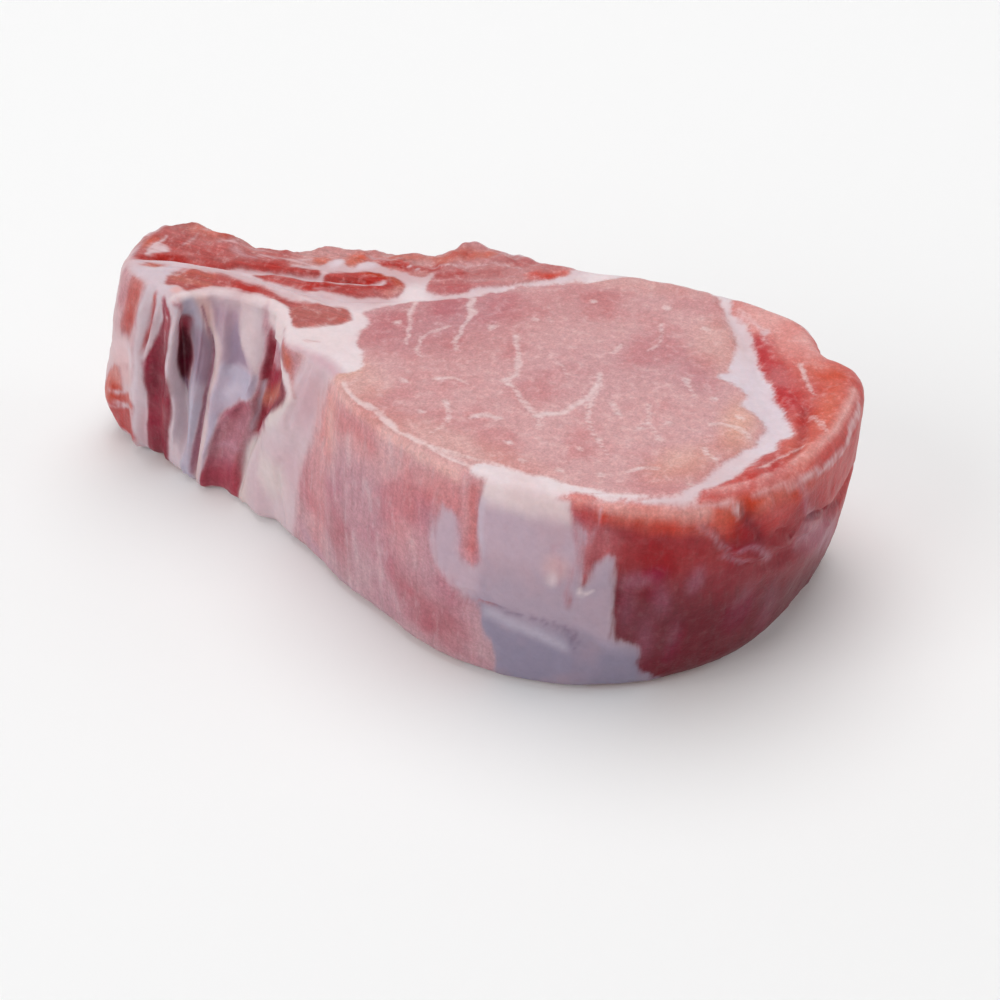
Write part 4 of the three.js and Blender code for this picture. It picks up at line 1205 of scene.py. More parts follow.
    )), 1, 0.9, ragged=0.8),
    cover(Hue.RIDGE, Streak(((10.4, 20.6), (7.1, 17.4), (3.3, 14.3), (1, 13.4)), 0.7, 0.4), 1, 0.75),
    cover(Hue.RIDGE, Streak(((9.7, 13.4), (5.7, 11.6), (3.1, 9.6), (1, 8.8)), 0.4, 0.3), 0.9, 0.6),
    bare(Hue.TAIL_RED, Spot(5, 22.6, 2.6, 1.2, 20), 1.2, 0.35),
    bare(Hue.BACK, Outline((
        (-14, 47), (-9, 47), (-6, 38), (-7, 26), (-11, 16), (-16, 14),
    )), 1.6, 0.9, ragged=1),
    bare(Hue.LUMP, Spot(-3.4, 30, 2.2, 6), 1.8, 0.6),
    tinge(Hue.RIM_PINK, Spot(4, 24, 3, 5), 2.4, 0.5),
)
BACK_WALL_PATCHES: tuple[Patch, ...] = (
    cover(Hue.BULGE, Outline((
        (226, 54), (229, 40), (226, 30), (231, 18), (228, 6), (230, -8), (322, -8), (319, 6), (324, 18),
        (318, 30), (322, 42), (318, 54),
    )), 3, rise=0.3, lip=2, ragged=2),
    tinge(Hue.SKIN_HIGH, Spot(252, 20, 14, 11, 10), 5, 0.8),
    tinge(Hue.RIM, Spot(240, 41, 12, 5), 3, 0.8),
    tinge(Hue.RIM, Spot(290, 40, 22, 6), 4, 0.7),
    tinge(Hue.SKIN, Spot(300, 14, 12, 9), 5, 0.7),
    tinge(Hue.SIDE_ROSE, Outline((
        (244, 44), (256, 42), (268, 43.4), (280, 40), (284, 35), (272, 35.6), (258, 33), (248, 36),
    )), 5, 0.5, ragged=2.4),
    tinge(Hue.SIDE_ROSE, Streak(((232, 10), (246, 12), (262, 7), (280, 9)), 3, 1.6), 5, 0.5, ragged=2.4),
    tinge(Hue.SIDE_ROSE, Streak((
        (276, 22), (290, 20), (304, 24), (318, 20),
    ), 2.6, 3.6), 5, 0.55, ragged=2.4),
    tinge(Hue.SIDE_ROSE, Streak(((298, 40), (308, 38), (320, 40)), 2.2, 3.4), 4, 0.5, ragged=2),
    bare(Hue.SIDE_ROSE, Streak((
        (287, 33), (296, 30), (306, 31.4), (322, 28),
    ), 0.3, 1.1), 1.4, 0.6, ragged=1.4),
    bare(Hue.SIDE_ROSE, Streak((
        (256, 17), (246, 15.4), (236, 18), (226, 16),
    ), 0.2, 0.9), 1.4, 0.5, ragged=1.4),
    flush(Hue.LUMP, Outline(((318, 54), (318, -8), (396, -8), (396, 54))), 5),
    flush(Hue.BACK, Spot(340, 26, 12, 22), 6, 0.8),
    flush(Hue.LUMP_ORANGE, Spot(362, 36, 8, 8, 30), 6, 0.4),
    flush(Hue.SIDE_RED, Spot(350, 10, 12, 8, -10), 5, 0.7),
    cover(Hue.RIDGE, Streak((
        (330, 50), (332, 38), (329, 26), (333, 12), (331, -6),
    ), 1.2, 0.8), 1.4, ragged=1.6),
    cover(Hue.SEAM_PINK, Streak(((346, 47), (350, 36), (348, 27)), 0.9, 0.5), 1.2, ragged=1.6),
    cover(Hue.RIDGE, Streak((
        (371, 50), (368, 38), (372, 26), (368, 12), (370, -6),
    ), 1.6, 0.9), 1.4, ragged=1.8),
    cover(Hue.TAIL, Outline((
        (384, 54), (386, 40), (382, 28), (386, 14), (384, -8), (400, -8), (400, 54),
    )), 1.8, ragged=1.6),
)


@dataclass
class ChopForm:
    """The chop's outer form: a leaning wall between two rims, closed by a top and a bottom face."""

    along: int = 340
    across: int = 88
    base_rows: int = 3
    wall_rows: int = 52
    rim_rows: int = 5
    relaxing: int = 300
    stations: Array = field(init=False)
    params: Array = field(init=False)
    girth: Array = field(init=False)
    total: float = field(init=False)

    def __post_init__(self) -> None:
        """Places the columns round the rim and measures the girth at each."""
        self.stations = np.array(FRONT_RIM + CAP_END_RIM + BACK_RIM + TAIL_END_RIM, float)
        front = len(FRONT_RIM)
        cap = front + len(CAP_END_RIM)
        corners = (0, front - 1, cap, cap + len(BACK_RIM) - 1, len(self.stations))
        counts = (self.along, self.across, self.along, self.across)
        self.params = np.concatenate([
            np.linspace(start, end, count, endpoint=False)
            for start, end, count in zip(corners, corners[1:], counts)
        ])
        middle = self.middle(self.params)
        steps = np.linalg.norm(np.roll(middle, -1, axis=0) - middle, axis=1)
        self.girth = np.concatenate([[0.0], np.cumsum(steps)[:-1]])
        self.total = float(steps.sum())

    def station(self, params: Array) -> Array:
        """Reads the rim's measures between the stations.

        Args:
            params: Places round the rim, counted in stations.

        Returns:
            Upper x and y, base x and y, and the two radii, one row for each place.
        """
        gap = np.floor(params).astype(int)
        knots = [self.stations[(gap + step) % len(self.stations)] for step in (-1, 0, 1, 2)]
        return hermite(*knots, (params - gap)[:, None])

    def middle(self, params: Array) -> Array:
        """Gives the wall's points at half height, without its belly."""
        rows = self.station(params)
        return (rows[:, :2] + rows[:, 2:4]) / 2

    def levels(self) -> tuple[Array, Array]:
        """Places the wall's rows.

        Returns:
            The height and the inset of each row at each column.
        """
        rows = self.station(self.params)
        upper, base = rows[:, 4], rows[:, 5]
        heights, insets = [], []
        for step in range(self.base_rows + 1):
            angle = math.pi / 2 * step / self.base_rows
            heights.append(base * (1 - math.cos(angle)))
            insets.append(base * (1 - math.sin(angle)))
        for step in range(1, self.wall_rows):
            heights.append(base + (THICKNESS - upper - base) * step / self.wall_rows)
            insets.append(base * 0)
        for step in range(self.rim_rows + 1):
            angle = math.pi / 2 * step / self.rim_rows
            heights.append(THICKNESS - upper * (1 - math.sin(angle)))
            insets.append(upper * (1 - math.cos(angle)))
        return np.array(heights), np.array(insets)

    def wall(self, heights: Array, outward: Array) -> Array:
        """Places the wall's points.

        Args:
            heights: The height of each row at each column.
            outward: How far each point stands out from the plain wall.

        Returns:
            Points by row and column.
        """
        rows = self.station(self.params)
        step = 0.001
        run = self.station(self.params + step) - self.station(self.params - step + len(self.stations))
        share = (heights / THICKNESS)[..., None]
        place = rows[None, :, 2:4] * (1 - share) + rows[None, :, :2] * share
        along = run[None, :, 2:4] * (1 - share) + run[None, :, :2] * share
        normal = np.stack([along[..., 1], -along[..., 0]], -1)
        normal /= np.linalg.norm(normal, axis=-1, keepdims=True)
        belly = BELLY * np.sin(math.pi * share[..., 0])
        flat = place + normal * (belly + outward)[..., None]
        for row, passes in RIM_EASING:
            for _ in range(passes):
                both = np.roll(flat[row], 1, axis=0) + 2 * flat[row] + np.roll(flat[row], -1, axis=0)
                flat[row] = both / 4
        return np.concatenate([flat, heights[..., None]], -1)

    def sheet(self, ring: Array, along: int, across: int) -> Array:
        """Fills a rim with a grid of points.

        Args:
            ring: The rim's points, in order round it.
            along: Cells along the long sides.
            across: Cells along the ends.

        Returns:
            Points by place along and place across.
        """
        u = np.linspace(0, 1, along + 1)[:, None, None]
        v = np.linspace(0, 1, across + 1)[None, :, None]
        second, third, fourth = along, along + across, 2 * along + across
        front = ring[: along + 1][:, None]
        cap = ring[second : third + 1][None]
        back = ring[third : fourth + 1][::-1][:, None]
        tail = np.vstack([ring[fourth:], ring[:1]])[::-1][None]
        bent = (
            (1 - u) * (1 - v) * ring[0]
            + u * (1 - v) * ring[second]
            + u * v * ring[third]
            + (1 - u) * v * ring[fourth]
        )
        grid = (1 - v) * front + v * back + (1 - u) * tail + u * cap - bent
        for _ in range(self.relaxing):
            self.relax(grid)
        return grid

    @staticmethod
    def relax(grid: Array) -> None:
        """Eases a grid once, so that its lines never cross each other.

        Args:
            grid: The points by place along and place across, which it moves.
        """
        along = (grid[2:, 1:-1] - grid[:-2, 1:-1]) / 2
        across = (grid[1:-1, 2:] - grid[1:-1, :-2]) / 2
        first = (across**2).sum(-1, keepdims=True)
        second = (along**2).sum(-1, keepdims=True)
        skew = (along * across).sum(-1, keepdims=True)
        corners = grid[2:, 2:] - grid[2:, :-2] - grid[:-2, 2:] + grid[:-2, :-2]
        drawn = first * (grid[2:, 1:-1] + grid[:-2, 1:-1]) + second * (grid[1:-1, 2:] + grid[1:-1, :-2])
        eased = (drawn - 0.5 * skew * corners) / (2 * (first + second) + 1e-12)
        grid[1:-1, 1:-1] += 0.9 * (eased - grid[1:-1, 1:-1])


@dataclass(frozen=True)
class ChopPattern:
    """The pattern of muscle, fat and skin on the chop's faces and wall, with some light and shade painted
    into it, and the relief that goes with it.
    """

    edge_size: float = 3.2
    face_seed: int = 11
    wall_seed: int = 23
    wall_edge_squash: float = 0.4
    thread_ragged: float = 0.5
    dot_size: tuple[float, float] = (0.8, 0.65)
    crown: float = 1.2
    crown_middle: tuple[float, float] = (20.0, 2.0)
    crown_reach: tuple[float, float] = (44.0, 36.0)
    face_calm: float = 0.5
    wall_calm: float = 0.65
    loose_slope: float = 0.22
    loose_start: tuple[float, float] = (26.0, 29.0)
    loose_end: tuple[float, float] = (0.0, 16.0)
    tail_end: tuple[float, float] = (50.0, 62.0)
    tail_top: tuple[float, float] = (39.0, 46.0)
    tail_calm: float = 0.9
    foot_hollow: float = 0.25
    foot_fade: tuple[float, float] = (0.5, 5.0)
    face_swell: Ripple = Ripple(0.12, Grain(41, 9, 2))
    face_grain: Ripple = Ripple(0.08, Grain(43, 2.2, 2))
    loose_meat: Ripple = Ripple(0.85, Grain(47, 4.6, 3))
    wall_swell: Ripple = Ripple(0.3, Grain(51, 11, 2))
    wall_fibre: Ripple = Ripple(0.1, Grain(53, 1.7, 2), 0.1)
    wall_grain: Ripple = Ripple(0.08, Grain(57, 2.4, 2))
    fat_swell: Ripple = Ripple(0.14, Grain(59, 4.5, 3))
    dimples: Ripple = Ripple(0.25, Grain(61, 5, 2))

    def wander(self, places: Array, seed: int) -> Array:
        """Makes the shifts that give patches their ragged edges.

        Args:
            places: Two or three coordinates in millimetres on each row.
            seed: The seed of the noise.

        Returns:
            Two shifts for each place.
        """
        return np.column_stack([Grain(seed + turn, self.edge_size, 3).at(places) for turn in range(2)])

    def face(self, places: Array) -> Tissue:
        """Gives the tissue of a cut face.

        Args:
            places: x and y in millimetres on each row.

        Returns:
            The tissue.
        """
        tissue = Tissue.start(len(places), Hue.EYE, Hue.PAD, 1.0)
        wander = self.wander(places, self.face_seed)
        for patch in FACE_PATCHES:
            tissue.lay(patch, places, wander)
        for thread in THREADS:
            patch = Patch(Kind.THREAD, Hue.FAT_THREAD, thread, ragged=self.thread_ragged)
            tissue.lay(patch, places, wander)
        for x, y in DOTS:
            tissue.lay(Patch(Kind.THREAD, Hue.FAT_THREAD, Spot(x, y, *self.dot_size)), places, wander)
        return tissue

    def side(self, places: Array) -> Tissue:
        """Gives the tissue of the wall.

        Args:
            places: Girth and height in millimetres on each row.

        Returns:
            The tissue.
        """
        tissue = Tissue.start(len(places), Hue.SIDE, Hue.RIDGE, 0.0)
        wander = self.wander(places * np.array([1.0, self.wall_edge_squash]), self.wall_seed)
        for patch in BACK_WALL_PATCHES + WALL_PATCHES:
            tissue.lay(patch, places, wander)
        return tissue

    def face_rise(self, places: Array, fat: Array) -> Array:
        """Gives the top face's height over its rim.

        Args:
            places: x and y in millimetres on each row.
            fat: The share of fat at each place.

        Returns:
            Heights in millimetres.
        """
        x, y = places.T
        aside, ahead = ((places - np.array(self.crown_middle)) / np.array(self.crown_reach)).T
        rise = self.crown * (1 - smoothstep(np.hypot(aside, ahead), 0, 1))
        for fold in FACE_FOLDS:
            rise += fold.height(places)
        rise += self.face_swell.height(places)
        rise += self.face_grain.height(places) * (1 - self.face_calm * fat)
        loose = smoothstep(y - self.loose_slope * x, *self.loose_start)
        loose = loose * (1 - smoothstep(x, *self.loose_end))
        rise += self.loose_meat.height(places) * loose
        return rise

    def side_rise(self, places: Array, fat: Array) -> Array:
        """Gives how far the wall stands out from its plain form.

        Args:
            places: Girth and height in millimetres on each row.
            fat: The share of fat or skin at each place.

        Returns:
            Distances in millimetres.
        """
        rise = np.zeros(len(places))
        for fold in WALL_FOLDS:
            rise += fold.height(places)
        tail = 1 - smoothstep(places[:, 0], *self.tail_end)
        rise *= 1 - self.tail_calm * tail * smoothstep(places[:, 1], *self.tail_top)
        for fold in RIM_FOLDS:
            rise += fold.height(places)
        rise += self.wall_swell.height(places)
        rise += self.wall_fibre.height(places) * (1 - self.wall_calm * fat)
        rise += self.wall_grain.height(places)
        rise += self.fat_swell.height(places) * fat
        return rise

    def foot_rise(self, places: Array, rim: Array) -> Array:
        """Gives the shallow hollows of the bottom face, which fade out towards its rim.

        Args:
            places: x and y in millimetres on each row.
            rim: Some points of the lower rim, in order.

        Returns:
            Heights in millimetres.
        """
        depth = Outline(tuple(map(tuple, rim)), False).inside(places)
        hollow = self.foot_hollow + self.dimples.height(places)
        return np.clip(hollow, 0, 1) * smoothstep(depth, *self.foot_fade)


@dataclass(frozen=True)
class Weave:
    """One noise of a shader: its waves to a unit, its finer octaves and how strong they are."""

    scale: float
    detail: float
    rough: float
    stretch: tuple[float, float, float] | None = None


class Wiring:
    """Short ways to add and join shader nodes."""

    def __init__(self, name: str) -> None:
        """Starts an empty node material of this name."""
        self.material = bpy.data.materials.new(name)
        self.material.use_nodes = True
        self.tree = self.material.node_tree
        self.tree.nodes.clear()

    def node(
        self,
        kind: str,
        settings: dict[str, object] | None = None,
        inputs: dict[str | int, object] | None = None,
    ) -> bpy.types.Node:
        """Adds a node.

        Args:
            kind: The node's type, without the words that all types start with.
            settings: Properties to set.
            inputs: What goes into its sockets: another node's socket, or a plain value.

        Returns:
            The node.
        """
        node = self.tree.nodes.new(f"ShaderNode{kind}")
        for key, value in (settings or {}).items():
            setattr(node, key, value)
        for key, value in (inputs or {}).items():
            if isinstance(value, Socket):
                self.tree.links.new(value, node.inputs[key])
            else:
                node.inputs[key].default_value = value
        return node

    def value(self, name: str, output: str = "Fac") -> Socket:
        """Reads a value that the mesh carries."""
        return self.node("Attribute", {"attribute_name": name}).outputs[output]

    def scaled(self, vector: Socket, scale: tuple[float, float, float]) -> Socket:
        """Multiplies a place's three coordinates by three factors."""
        return self.node("VectorMath", {"operation": "MULTIPLY"}, {0: vector, 1: scale}).outputs[0]

    def noise(self, place: Socket, weave: Weave) -> Socket:
        """Reads smooth noise.

        Args:
            place: Where to read it.
            weave: The noise's sizes.

        Returns:
            Noise around one half.
        """
        if weave.stretch is not None:
            place = self.scaled(place, weave.stretch)
        inputs = {"Scale": weave.scale, "Detail": weave.detail, "Roughness": weave.rough, "Vector": place}
        return self.node("TexNoise", inputs=inputs).outputs["Fac"]

    def math(self, operation: str, *values: Socket | float) -> Socket:
        """Reckons with two or three values."""
        return self.node("Math", {"operation": operation}, dict(enumerate(values))).outputs[0]

    def times(self, first: Socket, second: Socket | float) -> Socket:
        """Multiplies two values."""
        return self.math("MULTIPLY", first, second)

    def line(self, value: Socket, slope: Socket | float, start: Socket | float) -> Socket:
        """Multiplies a value by a slope and adds a start."""
        return self.math("MULTIPLY_ADD", value, slope, start)

    def step(self, value: Socket, low: float, high: float) -> Socket:
        """Rises smoothly from 0, where the value is low, to 1, where it is high."""
        inputs = {"From Min": low, "From Max": high, "Value": value}
        return self.node("MapRange", {"interpolation_type": "SMOOTHSTEP"}, inputs).outputs["Result"]

    def mix(self, share: Socket | float, first: Socket, second: Socket) -> Socket:
        """Mixes two colours, with this share of the second."""
        return self.node("Mix", {"data_type": "RGBA"}, {0: share, 6: first, 7: second}).outputs[2]

    def blend(self, share: Socket, first: Socket, second: Socket) -> Socket:
        """Goes from one value to another, with this share of the second."""
        return self.node("Mix", {"data_type": "FLOAT"}, {0: share, 2: first, 3: second}).outputs[0]

    def colour(self, hue: Hue) -> Socket:
        """Gives a fixed colour."""
        node = self.node("RGB")
        node.outputs[0].default_value = (*linear(hue.value).tolist(), 1.0)
        return node.outputs[0]

    def tone(self, colour: Socket, level: Socket) -> Socket:
        """Makes a colour lighter or darker by a factor."""
        return self.node("VectorMath", {"operation": "SCALE"}, {0: colour, "Scale": level}).outputs[0]

    def surfaced(self, inputs: dict[str, object]) -> bpy.types.Material:
        """Puts a shader with these inputs on the surface, and gives the finished material."""
        shader = self.node("BsdfPrincipled", inputs=inputs)
        self.node("OutputMaterial", inputs={"Surface": shader.outputs["BSDF"]})
        return self.material


@dataclass(frozen=True)
class MeatFinish:
    """Moist raw meat: lean with its grain, threads of fat, and pale fat and skin over it."""

    name: str = "raw_pork"
    roughness: float = 0.42
    subsurface: float = 0.22
    scatter: tuple[float, float, float] = (1.0, 0.42, 0.30)
    scatter_mm: float = 1.6
    refraction: float = 1.4
    gloss: float = 0.26
    coat: float = 0.08
    coat_roughness: float = 0.2
    grain_mm: float = 0.25
    grain_strength: float = 0.5
    web_strength: float = 0.15
    thread_strength: float = 0.64
    fine: Weave = Weave(1.1, 4, 0.6)
    mottle: Weave = Weave(0.5, 3, 0.6)
    sand: Weave = Weave(2.2, 3, 0.65)
    cloud: Weave = Weave(0.09, 2, 0.5)
    hair: Weave = Weave(1.0, 3, 0.55, (0.7, 0.12, 1.0))
    wisp: Weave = Weave(1.0, 4, 0.65, (0.45, 0.12, 1.0))
    cord: Weave = Weave(1.0, 3, 0.6, (0.12, 1.3, 1.3))

    def material(self) -> bpy.types.Material:
        """Builds the material."""
        return MeatWiring(self).shader()


class MeatWiring(Wiring):
    """The meat's shader.

    Its noises are around one half. Hair and wisp run up the wall, and cord runs along the tail.
    """

    def __init__(self, finish: MeatFinish) -> None:
        """Adds the nodes that read the mesh's values and make the noises.

        Args:
            finish: The strengths and sizes of the finish.
        """
        super().__init__(finish.name)
        self.finish = finish
        self.place = self.scaled(self.node("TexCoord").outputs["Object"], (1 / MM, 1 / MM, 1 / MM))
        run = self.value("run", "Vector")
        self.side = self.value("side")
        self.strand = self.value("strand")
        self.fine = self.noise(self.place, finish.fine)
        self.mottle = self.noise(self.place, finish.mottle)
        self.sand = self.noise(self.place, finish.sand)
        self.cloud = self.noise(self.place, finish.cloud)
        self.hair = self.noise(run, finish.hair)
        self.wisp = self.noise(run, finish.wisp)
        self.cord = self.noise(self.place, finish.cord)

    def fat_share(self) -> Socket:
        """Frays the edges of fat along the fibres beside it.

        Returns:
            The share of fat.
        """
        share = self.value("fat")
        edge = self.times(share, self.math("SUBTRACT", 1.0, share))
        loose = self.line(edge, 3.4, 0.12)
        noise = self.blend(self.strand, self.blend(self.side, self.fine, self.hair), self.cord)
        frayed = self.line(self.math("SUBTRACT", noise, 0.5), loose, share)
        return self.step(frayed, 0.02, 0.98)

    def thread_share(self) -> Socket:
        """Turns depth in a thread of fat into a share."""
        frayed = self.line(self.math("SUBTRACT", self.fine, 0.5), 1.0, self.value("thread"))
        return self.step(self.line(self.math("SUBTRACT", self.mottle, 0.5), 0.7, frayed), -0.5, 0.65)

    def web_share(self) -> Socket:
        """Makes the faint web of fat between bundles of fibre.

        Returns:
            The share of web.
        """
        drift = self.node("TexNoise", inputs={"Scale": 0.35, "Detail": 2.0, "Vector": self.place})
        shifts = {0: drift.outputs["Color"], 1: (3.0, 3.0, 3.0), 2: self.place}
        bent = self.node("VectorMath", {"operation": "MULTIPLY_ADD"}, shifts)
        inputs = {"Scale": 0.24, "Randomness": 1.0, "Vector": bent.outputs[0]}
        cells = self.node("TexVoronoi", {"feature": "DISTANCE_TO_EDGE"}, inputs)
        line = self.math("SUBTRACT", 1.0, self.step(cells.outputs["Distance"], 0.0, 0.22))
        some = self.step(self.mottle, 0.42, 0.7)
        face = self.math("SUBTRACT", 1.0, self.times(self.side, 0.8))
        return self.times(self.times(line, some), face)

    def lean_colour(self) -> Socket:
        """Varies the lean's colour with its grain, and flecks the cut faces with fat.

        Returns:
            The colour.
        """
        level = self.line(self.fine, 0.5, 0.75)
        level = self.times(level, self.line(self.mottle, 0.3, 0.85))
        level = self.times(level, self.line(self.sand, 0.36, 0.82))
        toned = self.tone(self.value("lean", "Color"), level)
        speck = self.step(self.math("ADD", self.fine, self.mottle), 1.06, 1.4)
        speck = self.times(speck, self.line(self.side, -0.14, 0.14))
        toned = self.mix(speck, toned, self.colour(Hue.FAT_THREAD))
        rosy = self.node("HueSaturation", inputs={"Saturation": 1.22, "Value": 0.93, "Color": toned})
        return self.mix(self.step(self.cloud, 0.42, 0.68), toned, rosy.outputs["Color"])

    def fibres(self, lean: Socket) -> Socket:
        """Draws the fibres that run down the wall.

        Args:
            lean: The lean's colour.

        Returns:
            The colour.
        """
        lean = self.mix(self.side, lean, self.tone(lean, self.line(self.hair, 0.5, 0.77)))
        milky = self.mix(0.55, lean, self.colour(Hue.SEAM_PINK))
        green = self.node("SeparateColor", inputs={0: lean}).outputs["Green"]
        light = self.line(self.step(green, 0.04, 0.2), 0.5, 0.12)
        share = self.times(self.step(self.wisp, 0.5, 0.78), self.times(self.side, light))
        return self.mix(share, lean, milky)

    def strands(self, lean: Socket) -> Socket:
        """Draws the fibres that run along the tail's thin muscles."""
        return self.mix(self.strand, lean, self.tone(lean, self.line(self.cord, 0.8, 0.6)))

    def pale_colour(self) -> Socket:
        """Varies the colour of fat and skin.

        Returns:
            The colour.
        """
        level = self.line(self.mottle, 0.2, 0.9)
        level = self.times(level, self.line(self.fine, 0.1, 0.95))
        toned = self.tone(self.value("pale", "Color"), level)
        blush = self.mix(0.3, toned, self.colour(Hue.EYE))
        return self.mix(self.times(self.step(self.cloud, 0.46, 0.7), 0.6), toned, blush)

    def surface_colour(self, fat: Socket) -> Socket:
        """Puts the web, the threads and the fat on the lean.

        Args:
            fat: The share of fat.

        Returns:
            The colour.
        """
        lean = self.strands(self.fibres(self.lean_colour()))
        white = self.colour(Hue.FAT_THREAD)
        lean = self.mix(self.times(self.web_share(), self.finish.web_strength), lean, white)
        lean = self.mix(self.times(self.thread_share(), self.finish.thread_strength), lean, white)
        return self.mix(fat, lean, self.pale_colour())

    def relief(self, fat: Socket) -> Socket:
        """Gives the surface its fine grain.

        Args:
            fat: The share of fat.

        Returns:
            The bent normal.
        """
        height = self.line(self.times(self.hair, self.side), 0.8, self.fine)
        height = self.line(self.mottle, 0.8, height)
        calm = self.times(height, self.line(fat, -0.55, 1.0))
        finish = self.finish
        inputs = {"Strength": finish.grain_strength, "Distance": finish.grain_mm * MM, "Height": calm}
        return self.node("Bump", inputs=inputs).outputs["Normal"]

    def shader(self) -> bpy.types.Material:
        """Joins everything in the shader.

        Returns:
            The finished material.
        """
        fat = self.fat_share()
        rough = self.line(self.fine, 0.16, self.finish.roughness - 0.08)
        return self.surfaced({
            "Subsurface Weight": self.finish.subsurface,
            "Subsurface Radius": self.finish.scatter,
            "Subsurface Scale": self.finish.scatter_mm * MM,
            "Coat Weight": self.finish.coat,
            "Coat Roughness": self.finish.coat_roughness,
            "Specular IOR Level": self.finish.gloss,
            "IOR": self.finish.refraction,
            "Base Color": self.surface_colour(fat),
            "Roughness": self.line(fat, 0.05, rough),
            "Normal": self.relief(fat),
        })


@dataclass
class Chop:
    """The chop itself: one closed mesh with its pattern on its points."""

    form: ChopForm = field(default_factory=ChopForm)
    pattern: ChopPattern = field(default_factory=ChopPattern)
    finish: MeatFinish = field(default_factory=MeatFinish)
    name: str = "chop_meat"
    tail_span: tuple[float, float] = (20.0, 80.0)
    tail_shift: tuple[float, float] = (7.0, 2.0)
    front_shift: tuple[float, float] = (0.0, 2.0)
    strand_end: tuple[float, float] = (-24.0, -14.0)
    thread_depth: float = 3.0

    def build(self) -> bpy.types.Object:
        """Builds the mesh and dresses it.

        Returns:
            The object, in place in the frame.
        """
        heights, insets = self.form.levels()
        girth = np.tile(self.form.girth, (len(heights), 1))
        unrolled = np.where(girth > self.form.total - GIRTH_OVERLAP, girth - self.form.total, girth)
        places = np.column_stack([unrolled.ravel(), heights.ravel()])
        side = self.pattern.side(places)
        outward = (self.pattern.side_rise(places, side.fat) + side.rise).reshape(heights.shape)
        wall = self.form.wall(heights, outward - insets)
        face_share = smoothstep(heights, *(THICKNESS - depth for depth in FACE_BLEND)).ravel()
        foot_share = 1 - smoothstep(heights, *FOOT_BLEND).ravel()
        plan = wall.reshape(-1, 3)[:, :2]
        top_plan = self.pattern.face(plan)
        side = side.mix(top_plan, face_share)
        lift = (self.pattern.face_rise(plan, side.fat) + top_plan.rise).reshape(heights.shape)
        wall[..., 2] += lift * smoothstep(heights / THICKNESS, LIFT_START, 1.0)
        top, top_tissue = self.top(wall[-1])
        bottom, bottom_tissue, foot_tissue = self.bottom(wall[0])
        side = side.mix(foot_tissue.repeated(len(heights)), foot_share)
        points = np.vstack([wall.reshape(-1, 3), top, bottom])
        tissue = Tissue.joined([side, top_tissue, bottom_tissue])
        run = np.zeros((len(points), 3))
        run[: len(places), :2] = places
        upright = np.zeros(len(points))
        upright[: len(places)] = (1 - face_share) * (1 - foot_share)
        return self.dress(points, self.faces(len(heights)), tissue, run, upright)

    def top(self, ring: Array) -> tuple[Array, Tissue]:
        """Builds the inner points of the top face.

        Args:
            ring: The upper rim's points.

        Returns:
            The points and their tissue.
        """
        grid = self.form.sheet(ring, self.form.along, self.form.across)[1:-1, 1:-1]
        points = grid.reshape(-1, 3).copy()
        tissue = self.pattern.face(points[:, :2])
        points[:, 2] = THICKNESS + self.pattern.face_rise(points[:, :2], tissue.fat) + tissue.rise
        return points, tissue

    def bottom(self, ring: Array) -> tuple[Array, Tissue, Tissue]:
        """Builds the inner points of the bottom face, with the pattern that the top has above them.

        Args:
            ring: The lower rim's points.

        Returns:
            The points, their tissue, and the tissue at the rim.
        """
        grid = self.form.sheet(ring[::2], self.form.along // 2, self.form.across // 2)[1:-1, 1:-1]
        points = grid.reshape(-1, 3).copy()
        tissue = self.pattern.face(self.above(points[:, :2]))
        rim_tissue = self.pattern.face(self.above(ring[:, :2]))
        points[:, 2] = self.pattern.foot_rise(points[:, :2], ring[::8, :2])
        return points, tissue, rim_tissue

    def above(self, places: Array) -> Array:
        """Finds which part of the cut face lies over places on the bottom, whose tail and front stand out."""
        tail = smoothstep(-places[:, 0], *self.tail_span)[:, None]
        return places + (np.array(self.front_shift) + np.array(self.tail_shift) * tail)

    def faces(self, rows: int) -> list[tuple[int, ...]]:
        """Joins the points of the wall and of the two faces.

        Args:
            rows: How many rows the wall has.

        Returns:
            The corners of each face.
        """
        columns = len(self.form.params)
        made: list[tuple[int, ...]] = []
        for row in range(rows - 1):
            low, high = row * columns, (row + 1) * columns
            for column in range(columns):
                after = (column + 1) % columns
                made.append((low + column, low + after, high + after, high + column))
        along, across = self.form.along, self.form.across
        start = rows * columns
        index = self.grid_index(along, across, start, start - columns, 1)
        for i in range(along):
            for j in range(across):
                made.append((index[i, j], index[i + 1, j], index[i + 1, j + 1], index[i, j + 1]))
        start += (along - 1) * (across - 1)
        index = self.grid_index(along // 2, across // 2, start, 0, 2)
        for i in range(along // 2):
            for j in range(across // 2):
                corners = (index[i, j], index[i, j + 1], index[i + 1, j + 1], index[i + 1, j])
                made.append(self.with_midpoints(corners, columns))
        return made

    @staticmethod
    def grid_index(along: int, across: int, start: int, rim: int, stride: int) -> Array:
        """Numbers a face's grid, whose edge belongs to the wall.

        Args:
            along: Cells along the long sides.
            across: Cells along the ends.
            start: The number of the first inner point.
            rim: The number of the rim's first point.
            stride: How many of the rim's points lie in one cell's side.

        Returns:
            The number of each point of the grid.
        """
        index = np.zeros((along + 1, across + 1), int)
        index[1:-1, 1:-1] = start + np.arange((along - 1) * (across - 1)).reshape(along - 1, across - 1)
        ring = rim + stride * np.arange(2 * (along + across))
        index[:, 0] = ring[: along + 1]
        index[along] = ring[along : along + across + 1]
        index[:, across] = ring[along + across : 2 * along + across + 1][::-1]
        index[0] = np.append(ring[2 * along + across :], ring[0])[::-1]
        return index

